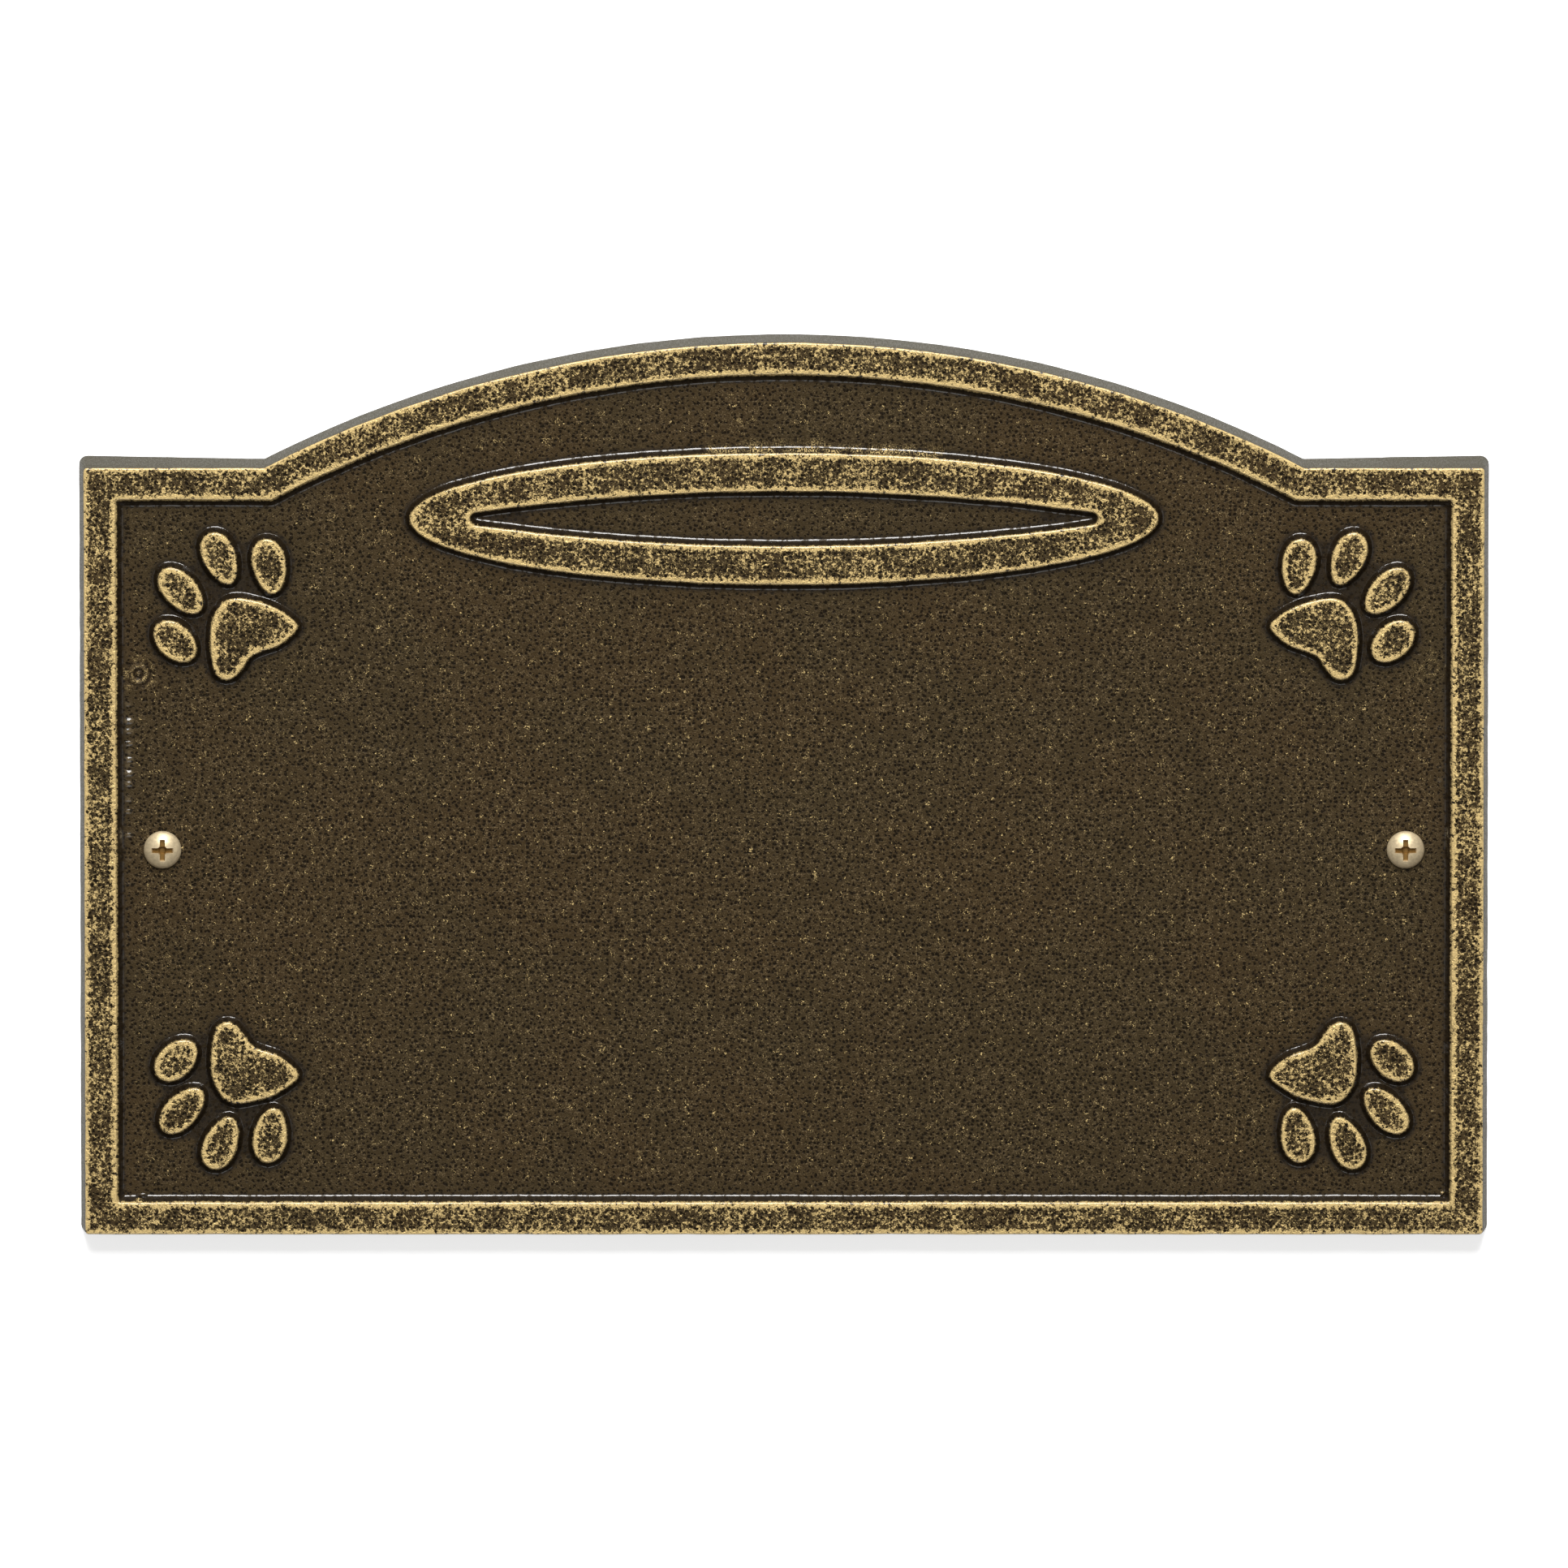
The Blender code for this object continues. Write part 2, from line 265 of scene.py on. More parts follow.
@dataclass(frozen=True)
class MarkerPlan:
    """The outlines of the casting, seen from above."""

    low: Vector
    high: Vector
    side_draft: float = 1.35 * MM
    sill_draft: float = 0.6 * MM
    shoulder_draft: float = 1.6 * MM
    shoulder_corner_draft: float = 2.5 * MM
    arch_rise: float = 35.2 * MM
    shoulder_length: float = 50.35 * MM
    face_corner: float = 1.0 * MM
    arch_joint: float = 1.5 * MM
    border_width: float = 8.8 * MM
    pocket_corner: float = 0.8 * MM
    relief: float = 2.2 * MM
    point_spacing: float = 1.45 * MM
    corner_steps: int = 4

    @property
    def top(self) -> float:
        """The height of the raised tops."""
        return self.high.z

    @property
    def field_level(self) -> float:
        """The height of the field."""
        return self.high.z - self.relief

    @property
    def half_width(self) -> float:
        """Half the width of the face."""
        return (self.high.x - self.low.x) / 2 - self.side_draft

    @property
    def bottom(self) -> float:
        """The line along Y from which the paws and the screws are set out."""
        return self.low.y + self.side_draft

    @property
    def sill(self) -> float:
        """The face's lower edge, along Y."""
        return self.low.y + self.sill_draft

    @property
    def apex(self) -> float:
        """The face's highest point on the arch, along Y."""
        return self.high.y - self.side_draft

    @property
    def shoulder(self) -> float:
        """The face's straight upper edge beside the arch, along Y."""
        return self.apex - self.arch_rise

    @property
    def arch_radius(self) -> float:
        """The radius of the arch on the face."""
        chord = self.half_width - self.shoulder_length
        return (chord**2 + self.arch_rise**2) / (2 * self.arch_rise)

    @property
    def middle(self) -> float:
        """Half-way up the face's straight sides, along Y."""
        return (self.bottom + self.shoulder) / 2

    def plate(
        self, inset: float, corner: float, lifts: tuple[float, ...] = (0.0, 0.0, 0.0)
    ) -> Outline:
        """The plate's outline at an inset from the face's edge.

        Args:
            inset: how far inside the face's edge it runs; outside where it is negative.
            corner: the radius of its four corners.
            lifts: how much higher the shoulder is at the arch's foot and at the corner, and
                the lower edge.

        Returns:
            The outline, anticlockwise, with the same count of points at every inset.
        """
        side, bottom = self.half_width - inset, self.sill + inset + lifts[2]
        shoulder = self.shoulder - inset + lifts[0]
        outer = self.shoulder - inset + lifts[1]
        radius, joint = self.arch_radius - inset, self.arch_joint
        centre_y = self.apex - self.arch_radius
        rise = shoulder + joint - centre_y
        joint_x = math.sqrt((radius + joint) ** 2 - rise**2)
        foot = math.degrees(math.atan2(rise, joint_x))
        steps = self.corner_steps
        across = round(self.half_width / self.point_spacing)
        up = round((self.shoulder - self.bottom) / self.point_spacing)
        along = round(self.shoulder_length / self.point_spacing)
        chord = self.half_width - self.shoulder_length
        over = round(math.hypot(chord, self.arch_rise) / self.point_spacing)
        right = run((0.0, bottom), (side - corner, bottom), across)
        right += arc((side - corner, bottom + corner), corner, 270, 360, steps)
        right += run((side, bottom + corner), (side, outer - corner), up)[1:]
        right += arc((side - corner, outer - corner), corner, 0, 90, steps)
        right += run((side - corner, outer), (joint_x, shoulder), along)[1:]
        right += arc((joint_x, shoulder + joint), joint, 270, 180 + foot, steps)
        right += arc((0.0, centre_y), radius, foot, 90, over)[1:]
        left = [(-x, y) for x, y in reversed(right[1:-1])]
        return right + left

    def footprint(self) -> Outline:
        """The plate's outline at its back, outside the face's by each side's draft."""
        sill = 2 * self.side_draft - self.sill_draft
        drafts = (self.shoulder_draft, self.shoulder_corner_draft, sill)
        lifts = tuple(draft - self.side_draft for draft in drafts)
        return self.plate(-self.side_draft, self.face_corner + self.side_draft, lifts)


@dataclass(frozen=True)
class RingPlan:
    """The lens-shaped ring: an ellipse outside, two flat arcs with round tips inside."""

    centre: Point
    length: float = 208.4 * MM
    width: float = 36.6 * MM
    opening_length: float = 175.6 * MM
    opening_width: float = 15.8 * MM
    tip_radius: float = 2.0 * MM
    points: int = 320

    def angles(self) -> Iterable[float]:
        """The angles that both outlines are drawn at."""
        return (2 * math.pi * i / self.points for i in range(self.points))

    def outer(self) -> Outline:
        """The outline of the ring's top outside."""
        half_long, half_wide = self.length / 2, self.width / 2
        return placed([(half_long * math.cos(a), half_wide * math.sin(a)) for a in self.angles()],
                      self.centre)

    def opening(self, inset: float = 0.0) -> Outline:
        """The outline of the ring's top inside.

        Args:
            inset: how far inside that outline it runs.

        Returns:
            As many points as the outer outline, in the same directions.
        """
        half_long, half_wide = self.opening_length / 2, self.opening_width / 2
        tip = self.tip_radius
        reach = half_long - tip
        radius = (reach**2 + half_wide**2 - tip**2) / (2 * (half_wide - tip))
        lean = math.atan2(reach, radius - half_wide)
        made = []
        for angle in self.angles():
            x = (half_long - inset) * math.cos(angle)
            if abs(x) > reach + (tip - inset) * math.sin(lean):
                y = math.sqrt(max(0.0, (tip - inset) ** 2 - (abs(x) - reach) ** 2))
            else:
                y = math.sqrt((radius - inset) ** 2 - x**2) - (radius - half_wide)
            made.append((x, math.copysign(y, math.sin(angle))))
        return placed(made, self.centre)


@dataclass(frozen=True)
class Toe:
    """One toe of a paw print, as shares of the print's size."""

    x: float
    y: float
    length: float
    width: float
    lean: float
    narrowing: float

    def outline(self, size: float, steps: int = 48) -> Outline:
        """The toe's outline: an egg, narrower at its lower end.

        Args:
            size: the size of the whole print.
            steps: how many points the egg is drawn with.

        Returns:
            The outline, from the middle of the print's main pad.
        """
        points = []
        for i in range(steps):
            angle = 2 * math.pi * i / steps
            across = math.sin(angle) * (1 + self.narrowing * math.cos(angle))
            points.append((-self.width * size / 2 * across, self.length * size / 2 * math.cos(angle)))
        return placed(points, (self.x * size, self.y * size), self.lean)


@dataclass(frozen=True)
class PawPlan:
    """The outlines of the paw print in the top left corner, and where its copies go."""

    plan: MarkerPlan
    size: float = 41.3 * MM
    from_side: float = 46.4 * MM
    from_shoulder: float = 47.9 * MM
    from_bottom: float = 47.4 * MM
    point_spacing: float = 1.05 * MM
    pad_steps: int = 6
    toes: tuple[Toe, ...] = (
        Toe(-0.201, 0.541, 0.366, 0.208, 23.0, 0.20),
        Toe(0.133, 0.488, 0.368, 0.215, 9.0, 0.16),
        Toe(-0.466, 0.321, 0.372, 0.208, 43.0, 0.08),
        Toe(-0.505, -0.023, 0.327, 0.220, 47.0, 0.04),
    )
    pad: tuple[Point, ...] = (
        (-0.186, 0.229), (-0.124, 0.263), (-0.040, 0.264), (0.138, 0.218), (0.263, 0.144),
        (0.318, 0.087), (0.291, 0.033), (0.196, -0.044), (0.070, -0.090), (-0.005, -0.130),
        (-0.047, -0.193), (-0.104, -0.260), (-0.170, -0.278), (-0.232, -0.232), (-0.259, -0.092),
        (-0.262, 0.039), (-0.240, 0.141),
    )

    def outlines(self) -> list[tuple[Outline, Point]]:
        """Every pad's top outline in its place, each with the point that it closes in on."""
        size = self.size
        main = smooth_loop([(x * size, y * size) for x, y in self.pad], self.pad_steps)
        shapes = [(toe.outline(size), (toe.x * size, toe.y * size)) for toe in self.toes]
        shapes.append((main, (0.0, 0.0)))
        made = []
        for side in Side:
            for end in End:
                x = side.value * (self.plan.half_width - self.from_side)
                if end is End.TOP:
                    y = self.plan.shoulder - self.from_shoulder
                else:
                    y = self.plan.bottom + self.from_bottom
                for outline, heart in shapes:
                    turned = [(x - side.value * px, y + end.value * py) for px, py in outline]
                    if signed_area(turned) < 0:
                        turned.reverse()
                    middle = (x - side.value * heart[0], y + end.value * heart[1])
                    made.append((respaced(turned, self.point_spacing), middle))
        return made


# Mesh work


class LoopMesh:
    """A mesh that grows by extruding closed loops of vertices from one level to the next."""

    def __init__(self) -> None:
        """Starts empty."""
        self.mesh = bmesh.new()
        self.layers = {layer: self.mesh.verts.layers.float.new(layer.value) for layer in Layer}

    def start(self, points: Outline, height: float) -> Loop:
        """Puts down a first closed loop.

        Args:
            points: the loop seen from above.
            height: its height.

        Returns:
            The loop's vertices in order.
        """
        loop = [self.mesh.verts.new((x, y, height)) for x, y in points]
        for i in range(len(loop)):
            self.mesh.edges.new((loop[i - 1], loop[i]))
        return loop

    def extend(self, loop: Loop, points: Outline, height: float) -> Loop:
        """Extrudes a loop to the next one.

        Args:
            loop: the loop to go on from.
            points: the next loop seen from above, point for point.
            height: its height.

        Returns:
            The new loop's vertices in order.
        """
        edges = [self.mesh.edges.get((loop[i - 1], loop[i])) for i in range(len(loop))]
        made = bmesh.ops.extrude_edge_only(self.mesh, edges=edges)["geom"]
        fresh = {item for item in made if isinstance(item, bmesh.types.BMVert)}
        follow = []
        for vert, (x, y) in zip(loop, points):
            twin = next(e.other_vert(vert) for e in vert.link_edges if e.other_vert(vert) in fresh)
            twin.co = (x, y, height)
            follow.append(twin)
        return follow

    def extend_down(self, loop: Loop, levels: Iterable[tuple[Outline, float]]) -> Loop:
        """Extrudes a loop through several levels and returns the last loop."""
        for points, height in levels:
            loop = self.extend(loop, points, height)
        return loop

    def mark(self, verts: Iterable[bmesh.types.BMVert], layer: Layer, value: float) -> None:
        """Gives vertices a value on one layer."""
        for vert in verts:
            vert[self.layers[layer]] = value

    def join(
        self, other: bmesh.types.BMesh, layer: Layer = Layer.PLAIN, value: float = 0.0
    ) -> None:
        """Takes another mesh in, which is freed.

        Args:
            other: the other mesh.
            layer: a layer to mark it on.
            value: its value on that layer.
        """
        data = bpy.data.meshes.new("joined")
        other.to_mesh(data)
        other.free()
        before = len(self.mesh.verts)
        self.mesh.from_mesh(data)
        bpy.data.meshes.remove(data)
        self.mesh.verts.ensure_lookup_table()
        self.mark(self.mesh.verts[before:], layer, value)


@dataclass
class Sheet:
    """A level sheet between closed outlines: a square grid, and a band along each outline.

    The first outline is its outer edge, and the others are openings in it.
    """

    outlines: list[Outline]
    height: float
    spacing: float
    fine_spots: Sequence[Point] = ()
    fine_reach: float = 3.2 * MM
    fine_cuts: int = 2
    clearance: float = 0.6
    dense_spacing: float = 0.4 * MM
    crumb_size: int = 40
    fill_turns: tuple[float, ...] = (0.0, 19.0, 37.0, 53.0, 71.0, 89.5, 107.0, 127.0, 151.0)

    def fill(self) -> bmesh.types.BMesh:
        """Fills the sheet.

        Returns:
            A mesh of the sheet, whose edges are the outlines as they were given.
        """
        made = bmesh.new()
        self._plant_tree()
        self._grid(made)
        self._refine(made)
        self._trim(made)
        self._fill_bands(made)
        return made

    def _plant_tree(self) -> None:
        """Prepares the search for the nearest point on any outline."""
        self.near: list[tuple[int, Point]] = []
        places: Outline = []
        for number, outline in enumerate(self.outlines):
            dense = respaced(outline, self.dense_spacing)
            side = math.copysign(1.0, signed_area(dense)) * (1 if number == 0 else -1)
            for i, point in enumerate(dense):
                after = dense[(i + 1) % len(dense)]
                before = dense[i - 1]
                inward = (side * (before[1] - after[1]), side * (after[0] - before[0]))
                self.near.append((number, inward))
                places.append(point)
        self.tree = nearest_points(places)

    def _grid(self, made: bmesh.types.BMesh) -> None:
        """Lays a square grid over the whole outer outline."""
        xs = [x for x, _ in self.outlines[0]]
        ys = [y for _, y in self.outlines[0]]
        wide, deep = max(xs) - min(xs), max(ys) - min(ys)
        bmesh.ops.create_grid(
            made,
            x_segments=round(wide / self.spacing),
            y_segments=round(deep / self.spacing),
            size=0.5,
        )
        bmesh.ops.scale(made, verts=made.verts[:], vec=(wide, deep, 1.0))
        middle = ((max(xs) + min(xs)) / 2, (max(ys) + min(ys)) / 2, self.height)
        bmesh.ops.translate(made, verts=made.verts[:], vec=middle)

    def _refine(self, made: bmesh.types.BMesh) -> None:
        """Splits the grid more finely around the small marks."""
        fine = set()
        for face in made.faces:
            x, y, _ = face.calc_center_median()
            away = (max(abs(x - spot[0]), abs(y - spot[1])) for spot in self.fine_spots)
            if any(reach < self.fine_reach for reach in away):
                fine.update(face.edges)
        if fine:
            bmesh.ops.subdivide_edges(made, edges=list(fine), cuts=self.fine_cuts, use_grid_fill=True)

    def _trim(self, made: bmesh.types.BMesh) -> None:
        """Cuts the grid off a little inside every outline."""
        outside = []
        for vert in made.verts:
            x, y, _ = vert.co
            place, i, away = self.tree.find((x, y, 0.0))
            inward = self.near[i][1]
            inside = (x - place.x) * inward[0] + (y - place.y) * inward[1] > 0
            cell = min(edge.calc_length() for edge in vert.link_edges)
            if not inside or away < self.clearance * cell:
                outside.append(vert)
        while outside:
            bmesh.ops.delete(made, geom=outside, context="VERTS")
            outside = [
                vert for vert in made.verts
                if not vert.link_faces or sum(edge.is_boundary for edge in vert.link_edges) > 2
            ]
            outside = outside or self._crumbs(made)

    def _crumbs(self, made: bmesh.types.BMesh) -> list[bmesh.types.BMVert]:
        """The vertices of small leftovers that hang together with nothing else."""
        waiting = set(made.verts)
        crumbs = []
        while waiting:
            found = [waiting.pop()]
            for vert in found:
                for edge in vert.link_edges:
                    other = edge.other_vert(vert)
                    if other in waiting:
                        waiting.remove(other)
                        found.append(other)
            if len(found) < self.crumb_size:
                crumbs += found
        return crumbs

    def _fill_bands(self, made: bmesh.types.BMesh) -> None:
        """Fills between the grid's rims and the outlines that they run beside."""
        groups: list[tuple[set[int], list[bmesh.types.BMEdge]]] = []
        for rim in self._rims(made):
            owners = set()
            for edge in rim:
                x, y, _ = edge.verts[0].co
                owners.add(self.near[self.tree.find((x, y, 0.0))[1]][0])
            apart = []
            for other_owners, other_rim in groups:
                if other_owners & owners:
                    owners |= other_owners
                    rim += other_rim
                else:
                    apart.append((other_owners, other_rim))
            groups = [*apart, (owners, rim)]
        for owners, edges in groups:
            for number in owners:
                verts = [made.verts.new((x, y, self.height)) for x, y in self.outlines[number]]
                edges += [made.edges.new((verts[i - 1], verts[i])) for i in range(len(verts))]
        for _, edges in groups:
            if not any(self._fill_band(made, edges, turn) for turn in self.fill_turns):
                log.warning("a band of %d edges is left open", len(edges))

    def _fill_band(
        self, made: bmesh.types.BMesh, edges: list[bmesh.types.BMEdge], degrees: float
    ) -> bool:
        """Fills one band, swept from one direction.

        Args:
            made: the sheet's mesh.
            edges: the band's edges.
            degrees: how far the sheet is turned for it.

        Returns:
            Whether the band is closed; it is left empty where it isn't.
        """
        wanted = [len(edge.link_faces) + 1 for edge in edges]
        known = set(made.edges)
        self._turn(made, degrees)
        fresh = bmesh.ops.triangle_fill(
            made, use_beauty=True, use_dissolve=False, edges=edges, normal=(0, 0, 1)
        )["geom"]
        self._turn(made, -degrees)
        if all(len(edge.link_faces) == count for edge, count in zip(edges, wanted)):
            return True
        fresh = [item for item in fresh if isinstance(item, bmesh.types.BMEdge)]
        fresh = [edge for edge in fresh if edge not in known]
        bmesh.ops.delete(made, geom=fresh, context="EDGES")
        return False

    def _turn(self, made: bmesh.types.BMesh, degrees: float) -> None:
        """Turns the sheet, so that no row of the grid lies level while a band is filled."""
        turn = Matrix.Rotation(math.radians(degrees), 3, "Z")
        bmesh.ops.rotate(made, verts=made.verts[:], cent=(0.0, 0.0, 0.0), matrix=turn)

    def _rims(self, made: bmesh.types.BMesh) -> list[list[bmesh.types.BMEdge]]:
        """The grid's closed boundaries, each as a list of edges."""
        waiting = {edge for edge in made.edges if edge.is_boundary}
        rims = []
        while waiting:
            first = waiting.pop()
            rim, ends = [first], list(first.verts)
            while ends:
                for edge in ends.pop().link_edges:
                    if edge in waiting:
                        waiting.remove(edge)
                        rim.append(edge)
                        ends.extend(edge.verts)
            rims.append(rim)
        return rims


def finished_object(
    name: str, mesh: bmesh.types.BMesh, material: bpy.types.Material
) -> bpy.types.Object:
    """An object at the origin from a mesh, with its faces turned outwards and smooth.

    Args:
        name: the object's name.
        mesh: its mesh, which is freed.
        material: its finish.

    Returns:
        The object, linked to the scene.
    """
    bmesh.ops.recalc_face_normals(mesh, faces=mesh.faces[:])
    data = bpy.data.meshes.new(name)
    mesh.to_mesh(data)
    mesh.free()
    data.shade_smooth()
    data.materials.append(material)
    made = bpy.data.objects.new(name, data)
    bpy.context.scene.collection.objects.link(made)
    return made


# Finishes


@dataclass(frozen=True)
class Ramp:
    """A soft step: a value turned into low up to its start, and into high from its end on."""

    start: Source
    end: Source
    low: float = 0.0
    high: float = 1.0


@dataclass(frozen=True)
class Grain:
    """A noise: the size of its features, its finer layers and their strength.

    A flat one only varies along X and Y.
    """

    size: float
    detail: float = 2.0
    roughness: float = 0.5
    flat: bool = True


class NodeBoard:
    """A material's nodes, added one by one."""

    def __init__(self, name: str) -> None:
        """Starts a material with a Principled shader on its output."""
        self.material = bpy.data.materials.new(name)
        self.material.use_nodes = True
        self.nodes = self.material.node_tree.nodes
        self.links = self.material.node_tree.links
        self.shader = self.nodes["Principled BSDF"]
        self.place = self.nodes.new("ShaderNodeTexCoord").outputs["Object"]

    def settle(self, **values: object) -> None:
        """Sets values on the shader's own sockets, named with spaces as underscores."""
        for name, value in values.items():
            self.shader.inputs[name.replace("_", " ")].default_value = value

    def feed(self, socket: str, source: Socket) -> None:
        """Links a source to one of the shader's sockets."""
        self.links.new(source, self.shader.inputs[socket])

    def put(self, value: Source | Colour, socket: Socket) -> None:
        """Links a value to a socket, or sets the socket to a number or a colour."""
        if isinstance(value, Socket):
            self.links.new(value, socket)
        else:
            socket.default_value = (*value, 1.0) if isinstance(value, tuple) else value

    def attribute(self, layer: Layer) -> Socket:
        """The value that the mesh carries on a layer."""
        node = self.nodes.new("ShaderNodeAttribute")
        node.attribute_name = layer.value
        return node.outputs["Fac"]

    def shifted(self, source: Socket, by: Socket, amount: float) -> Socket:
        """Coordinates pushed about by a colour.

        Args:
            source: the coordinates.
            by: the colour, whose middle grey is no push.
            amount: the largest push, in metres.

        Returns:
            The pushed coordinates.
        """
        centred = self.nodes.new("ShaderNodeVectorMath")
        centred.operation = "SUBTRACT"
        self.links.new(by, centred.inputs[0])
        centred.inputs[1].default_value = (0.5, 0.5, 0.5)
        pushed = self.nodes.new("ShaderNodeVectorMath")
        pushed.operation = "MULTIPLY_ADD"
        self.links.new(centred.outputs["Vector"], pushed.inputs[0])
        pushed.inputs[1].default_value = (2 * amount,) * 3
        self.links.new(source, pushed.inputs[2])
        return pushed.outputs["Vector"]

    def grain(self, grain: Grain, vector: Socket | None = None, output: str = "Fac") -> Socket:
        """A noise.

        Args:
            grain: what it is like.
            vector: its coordinates, or else the object's.
            output: which of the node's results is wanted.

        Returns:
            That result.
        """
        node = self.nodes.new("ShaderNodeTexNoise")
        node.noise_dimensions = "2D" if grain.flat else "3D"
        node.inputs["Scale"].default_value = 1.0 / grain.size
        node.inputs["Detail"].default_value = grain.detail
        node.inputs["Roughness"].default_value = grain.roughness
        self.links.new(vector or self.place, node.inputs["Vector"])
        return node.outputs[output]

    def cells(self, size: float, vector: Socket) -> bpy.types.Node:
        """Cells about so far apart, with the distance to the nearest middle."""
        node = self.nodes.new("ShaderNodeTexVoronoi")
        node.voronoi_dimensions = "2D"
        node.inputs["Scale"].default_value = 1.0 / size
        self.links.new(vector, node.inputs["Vector"])
        return node

    def math(self, operation: str, *values: Source, clamp: bool = False) -> Socket:
        """Arithmetic on sockets and numbers.

        Args:
            operation: the Math node's operation.
            values: what it works on.
            clamp: whether the result is held between 0 and 1.

        Returns:
            The result.
        """
        node = self.nodes.new("ShaderNodeMath")
        node.operation = operation
        node.use_clamp = clamp
        for value, socket in zip(values, node.inputs):
            self.put(value, socket)
        return node.outputs[0]

    def product(self, first: Source, *others: Source) -> Socket:
        """Several values multiplied."""
        for other in others:
            first = self.math("MULTIPLY", first, other)
        return first

    def weighted(self, base: Source, *parts: tuple[Socket, float]) -> Socket:
        """A base with other values added, each times its weight."""
        for value, weight in parts:
            base = self.math("MULTIPLY_ADD", value, weight, base)
        return base

    def less(self, value: Socket) -> Socket:
        """What a value leaves of one."""
        return self.math("SUBTRACT", 1.0, value)

    def fade(self, source: Socket, ramp: Ramp) -> Socket:
        """A soft step of a value."""
        node = self.nodes.new("ShaderNodeMapRange")
        node.interpolation_type = "SMOOTHSTEP"
        self.links.new(source, node.inputs["Value"])
        ends = {"From Min": ramp.start, "From Max": ramp.end, "To Min": ramp.low, "To Max": ramp.high}
        for name, value in ends.items():
            self.put(value, node.inputs[name])
        return node.outputs["Result"]

    def blend(self, share: Socket, first: Socket | Colour, second: Socket | Colour) -> Socket:
        """A mix of two colours.

        Args:
            share: how much of the second shows.
            first: the first colour.
            second: the second colour.

        Returns:
            The mixed colour.
        """
        node = self.nodes.new("ShaderNodeMix")
        node.data_type = "RGBA"
        sockets = {socket.identifier: socket for socket in node.inputs}
        for name, value in (("Factor_Float", share), ("A_Color", first), ("B_Color", second)):
            self.put(value, sockets[name])
        return next(socket for socket in node.outputs if socket.identifier == "Result_Color")

    def bump(self, height: Socket, depth: float) -> Socket:
        """The normal of a relief whose height runs from 0 to 1 over so many metres."""
        node = self.nodes.new("ShaderNodeBump")
        node.inputs["Strength"].default_value = 1.0
        node.inputs["Distance"].default_value = depth
        self.links.new(height, node.inputs["Height"])
        return node.outputs["Normal"]


@dataclass(frozen=True)
class Skin:
    """The sockets that describe the casting's surface where it is drawn."""

    pits: Socket
    blotches: Socket
    strokes: Socket
    grain: Socket
    patches: Socket
    top: Socket
    reach: Socket
    plain: Socket
    fleck: Socket
    mark: Socket


